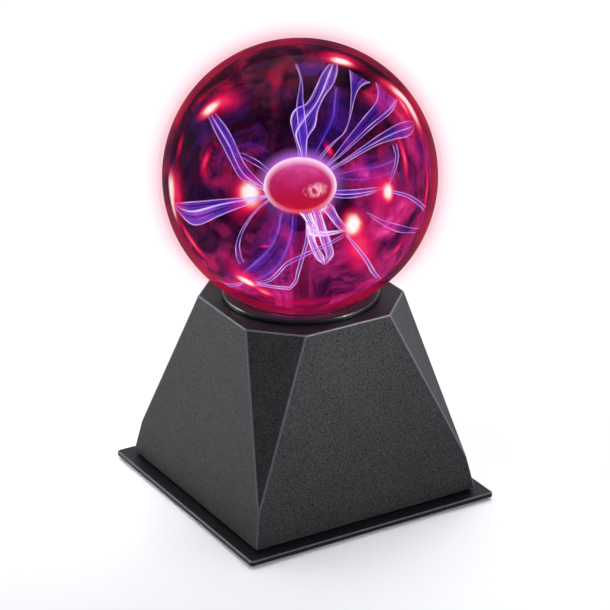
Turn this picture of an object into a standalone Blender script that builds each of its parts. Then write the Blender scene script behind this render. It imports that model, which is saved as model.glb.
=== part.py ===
"""Plasma ball: a gas-filled glass globe on a pyramid housing, with its high-voltage driver inside.

The origin is at the centre of the resting plane, under the rubber feet. +Z is up, -Y is the front, and
the power inlet and the rocker switch are on the back, at +Y. All sizes are in metres.
"""

import math

import bmesh
import bpy
from mathutils import Matrix, Vector

# Clearances
GAP = 0.0003  # between pieces that touch, seat or screw together
RUNNING_GAP = 0.0003  # all round the rocker's pivot pins

# Base plate and feet
PLINTH_MARGIN = 0.0075  # of the plinth beyond the housing, on each side
PLINTH_THICKNESS = 0.0032
PLINTH_CHAMFER = 0.0006
REVEAL_HEIGHT = 0.0012  # shadow gap between the plinth and the housing
REVEAL_DEPTH = 0.0020
FOOT_RADIUS = 0.0060
FOOT_PROUD = 0.0012
FOOT_RECESS = 0.0010
FOOT_FROM_EDGE = 0.0110
KEY_RIB_HEIGHT = 0.0030  # rib on the plate that centres the housing
KEY_RIB_WIDTH = 0.0015
VENT_LENGTH = 0.0260
VENT_WIDTH = 0.0024
VENT_PITCH = 0.0075
VENT_COUNT = 5

# Pyramid housing
BODY_SIDE = 0.1430
TOP_SIDE = 0.1020
TOP_EDGE = 0.0540  # length of each of the four long edges of the eight-sided deck
BODY_HEIGHT = 0.1103
CORNER_START = 0.0182  # height above the rim where each corner facet begins
WALL = 0.0025
DECK_THICKNESS = 0.0030
EDGE_CHAMFER = 0.0007
BOSS_INSET = 0.0135  # of the four screw bosses, from the housing's rim along X and Y
BOSS_RADIUS = 0.0042
BOSS_HEIGHT = 0.0400
BOSS_RIB = 0.0016  # thickness of the two ribs that tie each boss to the walls

# Screws: shank radius, shank length, head radius, head height
HOUSING_SCREW = (0.0014, 0.0110, 0.0029, 0.0019)
COLLAR_SCREW = (0.0010, 0.0045, 0.0019, 0.0014)
BOARD_SCREW = (0.0012, 0.0060, 0.0024, 0.0016)
TRANSISTOR_SCREW = (0.0013, 0.0070, 0.0025, 0.0018)
COUNTERBORE_DEPTH = 0.0026

# Globe, collar and gasket
GLOBE_RADIUS = 0.0760
GLOBE_WALL = 0.0015
GLOBE_SINK = 0.0055  # how far the globe's round would reach below the deck
NECK_RADIUS = 0.0170
NECK_FILLET = 0.0060
NECK_DROP = 0.0280  # of the neck's end below the deck
COLLAR_RADIUS = 0.0445
COLLAR_HEIGHT = 0.0034
COLLAR_ROUND = 0.0014
COLLAR_SKIRT_RADIUS = 0.0384
COLLAR_SKIRT_DROP = 0.0070
COLLAR_SCREW_CIRCLE = 0.0414
COLLAR_SCREW_COUNT = 3
GASKET_THICKNESS = 0.0011
SEAT_TOP_RISE = 0.0020  # of the collar's seat for the globe, above the deck
SEAT_FOOT_RISE = -0.0010
GASKET_MARGIN = 0.0004  # of the gasket's edges from the seat's edges, in height

# Electrode inside the globe
ELECTRODE_RADIUS = 0.0202
ELECTRODE_HALF_HEIGHT = 0.0150
ELECTRODE_DROP = 0.0057  # of its centre below the globe's centre
ELECTRODE_WALL = 0.0012
ELECTRODE_NECK_LENGTH = 0.0100
COATING_THICKNESS = 0.0004
STEM_RADIUS = 0.0045
STEM_WALL = 0.0013
STEM_OVERLAP = 0.0070  # of the stem inside the electrode's neck
FLARE_THICKNESS = 0.0015
NECK_CAP_WALL = 0.0015
NECK_CAP_HEIGHT = 0.0120
SPRING_RADIUS = 0.0030
SPRING_WIRE = 0.00035
SPRING_TURNS = 5

# Driver board, which stands on the base plate
BOARD_LENGTH = 0.0860
BOARD_WIDTH = 0.0560
BOARD_THICKNESS = 0.0016
BOARD_Y = -0.0060
STANDOFF_HEIGHT = 0.0080
STANDOFF_RADIUS = 0.0034
BOARD_HOLE_INSET = 0.0045

# Transformer on the board
CORE_LENGTH = 0.0360
CORE_HEIGHT = 0.0280
CORE_LEG = 0.0060
CORE_X = -0.0180
CORE_Y = -0.0080
SPOOL_TUBE_WALL = 0.0010
SPOOL_FLANGE = 0.0012
SPOOL_RADIUS = 0.0108
SECONDARY_RADIUS = 0.0100
PRIMARY_RADIUS = 0.0064

# Power inlet, in a round pocket in the back wall
JACK_X = -0.0220
JACK_Z = 0.0300
POCKET_RADIUS = 0.0060
POCKET_WALL = 0.0020
POCKET_DEPTH = 0.0090  # from the wall to the pocket's floor, along the inlet's axis
JACK_FLANGE_RADIUS = 0.0054
JACK_FLANGE_THICKNESS = 0.0020
JACK_BARREL_RADIUS = 0.0040
JACK_BARREL_LENGTH = 0.0120
JACK_BORE_RADIUS = 0.0030
JACK_BORE_DEPTH = 0.0100
JACK_PIN_RADIUS = 0.00105
JACK_PIN_SETBACK = 0.0015
JACK_NUT_ACROSS = 0.0110
JACK_NUT_THICKNESS = 0.0022
JACK_TAIL = 0.0040  # of the pin behind the barrel
JACK_TAG_OFFSET = 0.0026  # of the sleeve tag above the pin

# Rocker switch, square to the sloping back wall
SWITCH_X = 0.0220
SWITCH_RISE = 0.0300  # of its centre above the housing's rim
CASE_LENGTH = 0.0190
CASE_WIDTH = 0.0130
CASE_DEPTH = 0.0140
CASE_SIDE_WALL = 0.0012
CASE_END_WALL = 0.0007
BEZEL_MARGIN = 0.0010
BEZEL_THICKNESS = 0.0017
WELL_DEPTH = 0.0080
PIVOT_DEPTH = 0.0020
PIVOT_RADIUS = 0.0010
ROCKER_SIDE_GAP = 0.0003
ROCKER_TOP = 0.0060  # of its two ends above the pivot
ROCKER_DISH = 0.0012
ROCKER_ANGLE = 12.0  # to each side of its middle, in degrees
TERMINAL_WIDTH = 0.0046
TERMINAL_THICKNESS = 0.0008
TERMINAL_LENGTH = 0.0075
TERMINAL_PITCH = 0.0060

# Leads
LEAD_RADIUS = 0.0007
HV_LEAD_RADIUS = 0.0009

# Rounds
ROUND = 16  # segments of a small round
LARGE_ROUND = 40
GLOBE_ARC = 15  # segments of the globe's profile

# Sizes, levels and places that follow from the sizes above
PLINTH_SIDE = BODY_SIDE + 2 * PLINTH_MARGIN
BOSS_OFFSET = BODY_SIDE / 2 - BOSS_INSET
GLOBE_RISE = GLOBE_RADIUS - GLOBE_SINK
BEZEL_LENGTH = CASE_LENGTH + 2 * BEZEL_MARGIN
BEZEL_WIDTH = CASE_WIDTH + 2 * BEZEL_MARGIN
WELL_LENGTH = CASE_LENGTH - 2 * CASE_END_WALL
WELL_WIDTH = CASE_WIDTH - 2 * CASE_SIDE_WALL
ROCKER_WIDTH = WELL_WIDTH - 2 * ROCKER_SIDE_GAP
PLINTH_TOP = FOOT_PROUD + PLINTH_THICKNESS
FLOOR_Z = PLINTH_TOP + REVEAL_HEIGHT
RIM_Z = FLOOR_Z + GAP
DECK_Z = RIM_Z + BODY_HEIGHT
DECK_UNDERSIDE = DECK_Z - DECK_THICKNESS
GLOBE_Z = DECK_Z + GLOBE_RISE
NECK_END = DECK_Z - NECK_DROP
ELECTRODE_Z = GLOBE_Z - ELECTRODE_DROP
SPRING_FOOT_Z = ELECTRODE_Z - ELECTRODE_HALF_HEIGHT / 2
BOARD_Z = FLOOR_Z + STANDOFF_HEIGHT + GAP
BOARD_TOP = BOARD_Z + BOARD_THICKNESS
PART_Z = BOARD_TOP + GAP  # where the components on the board stand
SLOPE = (BODY_SIDE - TOP_SIDE) / 2 / BODY_HEIGHT  # of the four walls, inwards for each metre up
WALL_ANGLE = math.atan(SLOPE)
POCKET_FLOOR_Y = BODY_SIDE / 2 - (JACK_Z - RIM_Z) * SLOPE - POCKET_DEPTH
CORE_Z = PART_Z
COIL_Z = CORE_Z + CORE_LEG + GAP  # where the spools stand on the core's lower yoke
COIL_HEIGHT = CORE_HEIGHT - 2 * CORE_LEG - 2 * GAP
SPOOL_BORE = CORE_LEG / math.sqrt(2) + GAP
LEG_OFFSET = (CORE_LENGTH - CORE_LEG) / 2
SECONDARY_X = CORE_X + LEG_OFFSET
PRIMARY_X = CORE_X - LEG_OFFSET

MODEL = "plasma_ball"
HELPERS = "plasma_ball_cutters"


def clear_scene():
    for obj in list(bpy.data.objects):
        bpy.data.objects.remove(obj)
    for name in (MODEL, HELPERS):
        bpy.context.scene.collection.children.link(bpy.data.collections.new(name))


def material(name, colour, roughness, metallic=0.0):
    made = bpy.data.materials.new(name)
    made.use_nodes = True
    shader = made.node_tree.nodes["Principled BSDF"]
    shader.inputs["Base Color"].default_value = (*colour, 1.0)
    shader.inputs["Roughness"].default_value = roughness
    shader.inputs["Metallic"].default_value = metallic
    return made


def add_object(name, data, finish, parent=None):
    obj = bpy.data.objects.new(name, data)
    if finish:
        data.materials.append(finish)
    bpy.data.collections[MODEL].objects.link(obj)
    obj.parent = parent
    return obj


def add_helper(name, mesh, parent):
    """A cutter or a shape to join: it isn't a part of the object."""
    obj = bpy.data.objects.new(name, mesh)
    bpy.data.collections[HELPERS].objects.link(obj)
    obj.hide_render = True
    obj.display_type = "WIRE"
    obj.parent = parent
    return obj


# Simple shapes, each added to a bmesh


def box(bm, size, centre):
    bmesh.ops.create_cube(bm, size=1, matrix=Matrix.Translation(centre) @ Matrix.Diagonal((*size, 1)))


def rod(bm, radius, start, end, segments=ROUND, end_radius=None):
    start, end = Vector(start), Vector(end)
    turn = (end - start).to_track_quat("Z", "X").to_matrix().to_4x4()
    bmesh.ops.create_cone(
        bm,
        cap_ends=True,
        segments=segments,
        radius1=radius,
        radius2=radius if end_radius is None else end_radius,
        depth=(end - start).length,
        matrix=Matrix.Translation((start + end) / 2) @ turn,
    )


def mesh_of(name, shapes):
    """A mesh of shapes such as (box, size, centre) or (rod, radius, start, end)."""
    bm = bmesh.new()
    for build, *sizes in shapes:
        build(bm, *sizes)
    mesh = bpy.data.meshes.new(name)
    bm.to_mesh(mesh)
    bm.free()
    return mesh


def make(name, finish, *shapes, parent=None):
    return add_object(name, mesh_of(name, shapes), finish, parent)


def combine(obj, operation, other):
    modifier = obj.modifiers.new(operation.lower(), "BOOLEAN")
    modifier.operation = operation
    modifier.object = other


def cut(obj, *shapes):
    """Cuts shapes that don't overlap each other out of obj, in its own coordinates."""
    name = f"{obj.name}_cutter"
    combine(obj, "DIFFERENCE", add_helper(name, mesh_of(name, shapes), obj))


def join(obj, *shapes):
    """Joins shapes that don't overlap each other to obj, in its own coordinates."""
    name = f"{obj.name}_addition"
    combine(obj, "UNION", add_helper(name, mesh_of(name, shapes), obj))


def chamfer(obj, width, segments=1):
    modifier = obj.modifiers.new("edges", "BEVEL")
    modifier.width = width
    modifier.segments = segments
    modifier.limit_method = "ANGLE"
    modifier.angle_limit = math.radians(30)


def turned(name, finish, profile, steps=LARGE_ROUND, ring=True, parent=None):
    """A profile of (radius, height) points turned about Z. It runs down the outer side first. A ring's
    profile closes on itself, and any other starts and ends on the axis."""
    mesh = bpy.data.meshes.new(name)
    edges = [(i, i + 1) for i in range(len(profile) - 1)]
    if ring:
        edges.append((len(profile) - 1, 0))
    mesh.from_pydata([(radius, 0, height) for radius, height in profile], edges, [])
    obj = add_object(name, mesh, finish, parent)
    screw = obj.modifiers.new("turn", "SCREW")
    screw.steps = screw.render_steps = steps
    screw.use_merge_vertices = True
    screw.merge_threshold = 0.00001
    screw.use_smooth_shade = True
    return obj


def arc(centre_r, centre_z, radius, start, end, count, half_height=None):
    """Points of an arc or a part of an ellipse, at angles in degrees measured from +Z towards +R."""
    height = radius if half_height is None else half_height
    angles = [math.radians(start + (end - start) * i / count) for i in range(count + 1)]
    return [(centre_r + radius * math.sin(a), centre_z + height * math.cos(a)) for a in angles]


def smooth_route(points, steps):
    """Points on a Catmull-Rom curve through the given ones, with steps to each stretch."""
    knots = [Vector(p) for p in points]
    knots = [2 * knots[0] - knots[1], *knots, 2 * knots[-1] - knots[-2]]
    route = []
    for before, start, end, after in zip(knots, knots[1:], knots[2:], knots[3:]):
        for i in range(steps):
            t = i / steps
            route.append(
                0.5
                * (
                    2 * start
                    + (end - before) * t
                    + (2 * before - 5 * start + 4 * end - after) * t**2
                    + (3 * start - before - 3 * end + after) * t**3
                )
            )
    return [*route, knots[-2]]


def wire(name, finish, points, radius, bevel_resolution=1):
    curve = bpy.data.curves.new(name, "CURVE")
    curve.dimensions = "3D"
    curve.bevel_depth = radius
    curve.bevel_resolution = bevel_resolution
    curve.use_fill_caps = True
    spline = curve.splines.new("POLY")
    spline.points.add(len(points) - 1)
    for point, place in zip(spline.points, points):
        point.co = (*place, 1)
    return add_object(name, curve, finish)


def outline_mesh(name, points, thickness, turn):
    """A flat outline given its thickness about its own plane, then turned, as a mesh."""
    bm = bmesh.new()
    face = bm.faces.new([bm.verts.new((x, y, -thickness / 2)) for x, y in points])
    side = bmesh.ops.extrude_face_region(bm, geom=[face])
    moved = [item for item in side["geom"] if isinstance(item, bmesh.types.BMVert)]
    bmesh.ops.translate(bm, vec=(0, 0, thickness), verts=moved)
    bmesh.ops.recalc_face_normals(bm, faces=bm.faces)
    bmesh.ops.transform(bm, matrix=turn, verts=bm.verts)
    mesh = bpy.data.meshes.new(name)
    bm.to_mesh(mesh)
    bm.free()
    return mesh


def corners(offset_x, offset_y):
    """The four points at plus and minus these offsets, front left first and then anticlockwise."""
    return [(-offset_x, -offset_y), (offset_x, -offset_y), (offset_x, offset_y), (-offset_x, offset_y)]


CORNER_NAMES = ("front_left", "front_right", "back_right", "back_left")


def screw(name, finish, sizes, head_seat, direction, parent=None):
    """A pan-head screw: head_seat is the centre of the face under its head, and direction points from
    the head along the shank."""
    shank_radius, shank_length, head_radius, head_height = sizes
    seat, along = Vector(head_seat), Vector(direction)
    obj = make(name, finish, (rod, head_radius, seat - along * head_height, seat, 10), parent=parent)
    chamfer(obj, head_height * 0.3)
    join(obj, (rod, shank_radius, seat - along * head_height / 2, seat + along * shank_length, 6))
    slot = (head_radius * 1.1, head_radius * 0.3)
    bar = [max(slot[0] * abs(axis), head_height * 0.8 * abs(d)) for axis, d in zip((1, 0, 0), along)]
    bar = [side if side else slot[1] for side in bar]
    if abs(along.x) > 0.5:
        bar = [head_height * 0.8, slot[1], slot[0]]
    cut(obj, (box, bar, seat - along * head_height))
    return obj


# The housing


def wall_half(z):
    """Half the distance between two opposite outer walls, at height z."""
    return BODY_SIDE / 2 - (z - RIM_Z) * SLOPE


def inner_half(z):
    return wall_half(z) - WALL / math.cos(WALL_ANGLE)


def pyramid_block(name, bottom, top, inset):
    """A closed block between two heights, bounded by the four sloping walls and the four corner facets,
    each moved inwards by inset."""
    half_top, half_edge = TOP_SIDE / 2, TOP_EDGE / 2
    facet_z = RIM_Z + CORNER_START
    facet_half = wall_half(facet_z)
    lean = (2 * facet_half - half_top - half_edge) / (DECK_Z - facet_z)
    wall = (Vector((1, 0, SLOPE)), Vector((BODY_SIDE / 2, 0, RIM_Z)))
    facet = (Vector((1, 1, lean)), Vector((facet_half, facet_half, facet_z)))
    bm = bmesh.new()
    box(bm, (2 * BODY_SIDE, 2 * BODY_SIDE, top - bottom), (0, 0, (top + bottom) / 2))
    for quarter in range(4):
        turn = Matrix.Rotation(math.radians(90 * quarter), 3, "Z")
        for normal, point in (wall, facet):
            outward = turn @ normal.normalized()
            bmesh.ops.bisect_plane(
                bm,
                geom=[*bm.verts, *bm.edges, *bm.faces],
                plane_co=turn @ point - outward * inset,
                plane_no=outward,
                clear_outer=True,
            )
            bmesh.ops.holes_fill(bm, edges=bm.edges)
    bmesh.ops.recalc_face_normals(bm, faces=bm.faces)
    mesh = bpy.data.meshes.new(name)
    bm.to_mesh(mesh)
    bm.free()
    return mesh


def collar_screw_places():
    for i in range(COLLAR_SCREW_COUNT):
        angle = math.radians(90 + 360 * i / COLLAR_SCREW_COUNT)
        yield Vector((math.cos(angle), math.sin(angle), 0)) * COLLAR_SCREW_CIRCLE


def make_housing(finish):
    housing = add_object("upper_housing", pyramid_block("upper_housing", RIM_Z, DECK_Z, 0), finish)
    chamfer(housing, EDGE_CHAMFER)
    below = RIM_Z - WALL
    hollow = pyramid_block("housing_hollow", below, DECK_UNDERSIDE, WALL)
    hollow = add_helper("housing_hollow", hollow, housing)
    bosses = [
        (rod, BOSS_RADIUS, (x, y, below - WALL), (x, y, RIM_Z + BOSS_HEIGHT))
        for x, y in corners(BOSS_OFFSET, BOSS_OFFSET)
    ]
    cut(hollow, *bosses)
    rib_foot = FLOOR_Z + KEY_RIB_HEIGHT + 2 * GAP
    rib_height = RIM_Z + BOSS_HEIGHT - rib_foot
    rib_start = BOSS_OFFSET + BOSS_RADIUS / 2
    rib_length = BODY_SIDE / 2 - rib_start
    rib_place, rib_z = rib_start + rib_length / 2, rib_foot + rib_height / 2
    ribs = [
        (box, (rib_length, BOSS_RIB, rib_height), (x, y, rib_z))
        for x, y in corners(rib_place, BOSS_OFFSET)
    ]
    ribs += [
        (box, (BOSS_RIB, rib_length, rib_height), (x, y, rib_z))
        for x, y in corners(BOSS_OFFSET, rib_place)
    ]
    cut(hollow, *ribs)
    pocket_back = POCKET_FLOOR_Y - POCKET_WALL
    past_wall = BODY_SIDE / 2
    pocket = (POCKET_RADIUS + POCKET_WALL, (JACK_X, pocket_back, JACK_Z), (JACK_X, past_wall, JACK_Z), 24)
    cut(hollow, (rod, *pocket))
    combine(housing, "DIFFERENCE", hollow)
    shank_radius, shank_length, _, _ = HOUSING_SCREW
    pilot = shank_radius + GAP
    holes = [
        (rod, pilot, (x, y, below), (x, y, FLOOR_Z + shank_length), 8)
        for x, y in corners(BOSS_OFFSET, BOSS_OFFSET)
    ]
    neck_hole = COLLAR_SKIRT_RADIUS + GAP
    holes.append((rod, neck_hole, (0, 0, DECK_UNDERSIDE - WALL), (0, 0, DECK_Z + WALL), LARGE_ROUND))
    above = Vector((0, 0, DECK_Z + WALL))
    under = Vector((0, 0, DECK_UNDERSIDE - WALL))
    clearance = COLLAR_SCREW[0] + GAP
    holes += [(rod, clearance, place + under, place + above, 8) for place in collar_screw_places()]
    holes.append((rod, POCKET_RADIUS, (JACK_X, POCKET_FLOOR_Y, JACK_Z), (JACK_X, past_wall, JACK_Z), 24))
    cut(housing, *holes)
    barrel_hole = JACK_BARREL_RADIUS + GAP
    cut(
        housing,
        (rod, barrel_hole, (JACK_X, pocket_back - WALL, JACK_Z), (JACK_X, past_wall, JACK_Z)),
    )
    return housing


# Base plate and feet


def make_base(finish):
    half_floor = BODY_SIDE / 2 - REVEAL_DEPTH
    plate = make(
        "base_plate",
        finish,
        (box, (PLINTH_SIDE, PLINTH_SIDE, PLINTH_THICKNESS), (0, 0, FOOT_PROUD + PLINTH_THICKNESS / 2)),
    )
    chamfer(plate, PLINTH_CHAMFER)
    raised = FLOOR_Z - FOOT_PROUD - PLINTH_CHAMFER
    join(plate, (box, (2 * half_floor, 2 * half_floor, raised), (0, 0, FLOOR_Z - raised / 2)))
    rib_top = FLOOR_Z + KEY_RIB_HEIGHT
    rib_half = inner_half(rib_top) - GAP
    rib_inner = rib_half - KEY_RIB_WIDTH
    into = 0.001  # how far a joined shape runs into the plate
    centre_z = (FLOOR_Z - into + rib_top) / 2
    height = rib_top - FLOOR_Z + into
    long_side, place = 2 * rib_half, rib_half - KEY_RIB_WIDTH / 2
    join(
        plate,
        (box, (long_side, KEY_RIB_WIDTH, height), (0, place, centre_z)),
        (box, (long_side, KEY_RIB_WIDTH, height), (0, -place, centre_z)),
    )
    join(
        plate,
        (box, (KEY_RIB_WIDTH, 2 * rib_inner + into, height), (place, 0, centre_z)),
        (box, (KEY_RIB_WIDTH, 2 * rib_inner + into, height), (-place, 0, centre_z)),
    )
    standoff_top = FLOOR_Z + STANDOFF_HEIGHT
    join(
        plate,
        *[
            (rod, STANDOFF_RADIUS, (x, y, FLOOR_Z - into), (x, y, standoff_top), 12)
            for x, y in board_holes()
        ],
    )
    pilot = BOARD_SCREW[0] + GAP
    holes = [
        (rod, pilot, (x, y, BOARD_TOP - BOARD_SCREW[1] - GAP), (x, y, standoff_top + into), 8)
        for x, y in board_holes()
    ]
    shank_radius, _, head_radius, _ = HOUSING_SCREW
    below = FOOT_PROUD - into
    for x, y in corners(BOSS_OFFSET, BOSS_OFFSET):
        holes.append((rod, head_radius + GAP, (x, y, below), (x, y, FOOT_PROUD + COUNTERBORE_DEPTH), 12))
    foot_place = PLINTH_SIDE / 2 - FOOT_FROM_EDGE
    recess_top = FOOT_PROUD + FOOT_RECESS + GAP
    for x, y in corners(foot_place, foot_place):
        holes.append((rod, FOOT_RADIUS + GAP, (x, y, below), (x, y, recess_top)))
    for i in range(VENT_COUNT):
        y = BOARD_Y + VENT_PITCH * (i - (VENT_COUNT - 1) / 2)
        holes.append((box, (VENT_LENGTH, VENT_WIDTH, 4 * PLINTH_THICKNESS), (0, y, PLINTH_TOP)))
    cut(plate, *holes)
    cut(
        plate,
        *[
            (rod, shank_radius + GAP, (x, y, below), (x, y, FLOOR_Z + into), 8)
            for x, y in corners(BOSS_OFFSET, BOSS_OFFSET)
        ],
    )
    return plate


def make_feet(finish):
    place = PLINTH_SIDE / 2 - FOOT_FROM_EDGE
    for name, (x, y) in zip(CORNER_NAMES, corners(place, place)):
        foot = make(
            f"foot_{name}",
            finish,
            (rod, FOOT_RADIUS, (x, y, 0), (x, y, FOOT_PROUD + FOOT_RECESS)),
        )
        chamfer(foot, FOOT_PROUD / 3)


def make_housing_screws(finish):
    seat = FOOT_PROUD + COUNTERBORE_DEPTH - GAP
    for name, (x, y) in zip(CORNER_NAMES, corners(BOSS_OFFSET, BOSS_OFFSET)):
        screw(f"housing_screw_{name}", finish, HOUSING_SCREW, (x, y, seat), (0, 0, 1))


# Globe, collar and electrode


def seat_point(rise, offset):
    """A point at offset outside the globe, at a height above the deck."""
    radius = GLOBE_RADIUS + offset
    return math.sqrt(radius**2 - (GLOBE_RISE - rise) ** 2), DECK_Z + rise


def seat_points(margin, offset):
    """The seat's line under the globe from its top down, margin short of it at each end."""
    top, foot = SEAT_TOP_RISE - margin, SEAT_FOOT_RISE + margin
    return [seat_point(rise, offset) for rise in (top, (top + foot) / 2, foot)]


def make_collar(finish, screw_finish):
    seat = GAP + GASKET_THICKNESS + GAP
    top = DECK_Z + COLLAR_HEIGHT
    foot = DECK_Z + GAP
    rim = arc(COLLAR_RADIUS - COLLAR_ROUND, top - COLLAR_ROUND, COLLAR_ROUND, 0, 90, 3)
    high, middle, low = seat_points(0, seat)
    lip = (high[0] + COLLAR_ROUND, top)
    skirt_end = DECK_Z - COLLAR_SKIRT_DROP
    profile = [
        lip,
        *rim,
        (COLLAR_RADIUS, foot),
        (COLLAR_SKIRT_RADIUS, foot),
        (COLLAR_SKIRT_RADIUS, skirt_end),
        (low[0], skirt_end),
        low,
        middle,
        high,
    ]
    collar = turned("globe_collar", finish, profile)
    shank_radius, shank_length, _, head_height = COLLAR_SCREW
    seat_z = DECK_UNDERSIDE - GAP
    pilot_top = Vector((0, 0, seat_z + shank_length + GAP))
    pilot_foot = Vector((0, 0, DECK_Z - GAP))
    places = list(collar_screw_places())
    cut(collar, *[(rod, shank_radius + GAP, p + pilot_foot, p + pilot_top, 8) for p in places])
    for number, place in enumerate(places, 1):
        screw(
            f"collar_screw_{number}",
            screw_finish,
            COLLAR_SCREW,
            place + Vector((0, 0, seat_z)),
            (0, 0, 1),
        )


def make_gasket(finish):
    outer = seat_points(GASKET_MARGIN, GAP + GASKET_THICKNESS)
    inner = seat_points(GASKET_MARGIN, GAP)
    turned("globe_gasket", finish, [*outer, *reversed(inner)])


def globe_side(inset):
    """The globe's side from its top to the end of its neck, moved inwards by inset."""
    fillet = NECK_FILLET + inset
    across = NECK_RADIUS + NECK_FILLET
    below = math.sqrt((GLOBE_RADIUS + NECK_FILLET) ** 2 - across**2)
    turn = 180 - math.degrees(math.atan2(across, below))
    sphere = arc(0, GLOBE_Z, GLOBE_RADIUS - inset, 0, turn, GLOBE_ARC)
    bend = arc(across, GLOBE_Z - below, fillet, turn - 180, -90, 3)
    return [*sphere, *bend[1:], (NECK_RADIUS - inset, NECK_END)]


def make_globe(finish):
    side = globe_side(0)
    inner = globe_side(GLOBE_WALL)
    side[0] = (0, side[0][1])
    inner[0] = (0, inner[0][1])
    turned("glass_globe", finish, [*side, *reversed(inner)], ring=False)


def electrode_side(inset, end_radius, count):
    """The electrode's side from its top down to where it narrows to end_radius."""
    radius, half_height = ELECTRODE_RADIUS - inset, ELECTRODE_HALF_HEIGHT - inset
    end = 180 - math.degrees(math.asin(end_radius / radius))
    side = arc(0, ELECTRODE_Z, radius, 0, end, count, half_height)
    return [(0, side[0][1]), *side[1:]]


def make_electrode(glass, coating, spring_finish):
    neck = STEM_RADIUS + GAP + ELECTRODE_WALL
    neck_end = ELECTRODE_Z - ELECTRODE_HALF_HEIGHT - ELECTRODE_NECK_LENGTH
    outer = [*electrode_side(0, neck, 9), (neck, neck_end)]
    inner = [*electrode_side(ELECTRODE_WALL, neck - ELECTRODE_WALL, 9), (neck - ELECTRODE_WALL, neck_end)]
    turned("electrode_bulb", glass, [*outer, *reversed(inner)], steps=24, ring=False)
    lining = ELECTRODE_WALL + GAP
    outer = electrode_side(lining, 1.5 * neck, 9)
    inner = electrode_side(lining + COATING_THICKNESS, 1.5 * neck, 9)
    turned("electrode_coating", coating, [*outer, *reversed(inner)], steps=24, ring=False)
    bottom = SPRING_FOOT_Z
    top = ELECTRODE_Z + ELECTRODE_HALF_HEIGHT - lining - COATING_THICKNESS - SPRING_WIRE - GAP
    count = 8 * SPRING_TURNS
    coil = [
        (
            SPRING_RADIUS * math.cos(2 * math.pi * SPRING_TURNS * i / count),
            SPRING_RADIUS * math.sin(2 * math.pi * SPRING_TURNS * i / count),
            bottom + (top - bottom) * i / count,
        )
        for i in range(count + 1)
    ]
    wire("contact_spring", spring_finish, coil, SPRING_WIRE, bevel_resolution=0)


def make_stem(glass):
    """The glass tube up the middle of the globe, with the flare that closes the globe's neck."""
    bore = STEM_RADIUS - STEM_WALL
    top = ELECTRODE_Z - ELECTRODE_HALF_HEIGHT - ELECTRODE_NECK_LENGTH + STEM_OVERLAP
    flare = NECK_RADIUS - GLOBE_WALL - GAP
    flare_top = NECK_END + FLARE_THICKNESS
    profile = [
        (STEM_RADIUS, top),
        (STEM_RADIUS, flare_top + STEM_RADIUS),
        (STEM_RADIUS * 1.4, flare_top + STEM_RADIUS * 0.4),
        (STEM_RADIUS * 2, flare_top),
        (flare, flare_top),
        (flare, NECK_END),
        (bore, NECK_END),
        (bore, top),
    ]
    turned("electrode_stem", glass, profile, steps=ROUND)


def make_neck_cap(finish):
    """A push-on cap that insulates the end of the globe's neck. The high-voltage lead goes through it."""
    bore = NECK_RADIUS + GAP
    outer = bore + NECK_CAP_WALL
    hole = HV_LEAD_RADIUS + GAP
    floor = NECK_END - GAP
    profile = [
        (outer, floor + NECK_CAP_HEIGHT),
        (outer, floor - NECK_CAP_WALL),
        (hole, floor - NECK_CAP_WALL),
        (hole, floor),
        (bore, floor),
        (bore, floor + NECK_CAP_HEIGHT),
    ]
    turned("neck_cap", finish, profile)


# Driver board and what is on it


def board_holes():
    half_x = BOARD_LENGTH / 2 - BOARD_HOLE_INSET
    half_y = BOARD_WIDTH / 2 - BOARD_HOLE_INSET
    return [(x, y + BOARD_Y) for x, y in corners(half_x, half_y)]


def make_board(finish, screw_finish):
    board = make(
        "driver_board",
        finish,
        (box, (BOARD_LENGTH, BOARD_WIDTH, BOARD_THICKNESS), (0, BOARD_Y, BOARD_Z + BOARD_THICKNESS / 2)),
    )
    hole = BOARD_SCREW[0] + GAP
    below, above = BOARD_Z - BOARD_THICKNESS, BOARD_TOP + BOARD_THICKNESS
    cut(board, *[(rod, hole, (x, y, below), (x, y, above), 8) for x, y in board_holes()])
    for name, (x, y) in zip(CORNER_NAMES, board_holes()):
        screw(f"board_screw_{name}", screw_finish, BOARD_SCREW, (x, y, BOARD_TOP + GAP), (0, 0, -1))


def make_coil(name, finish, x, outer_radius, bore, bottom, top):
    """A winding or a plain tube round one leg of the core."""
    profile = [(outer_radius, top), (outer_radius, bottom), (bore, bottom), (bore, top)]
    coil = turned(name, finish, profile, steps=ROUND)
    coil.location = (x, CORE_Y, 0)


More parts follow.
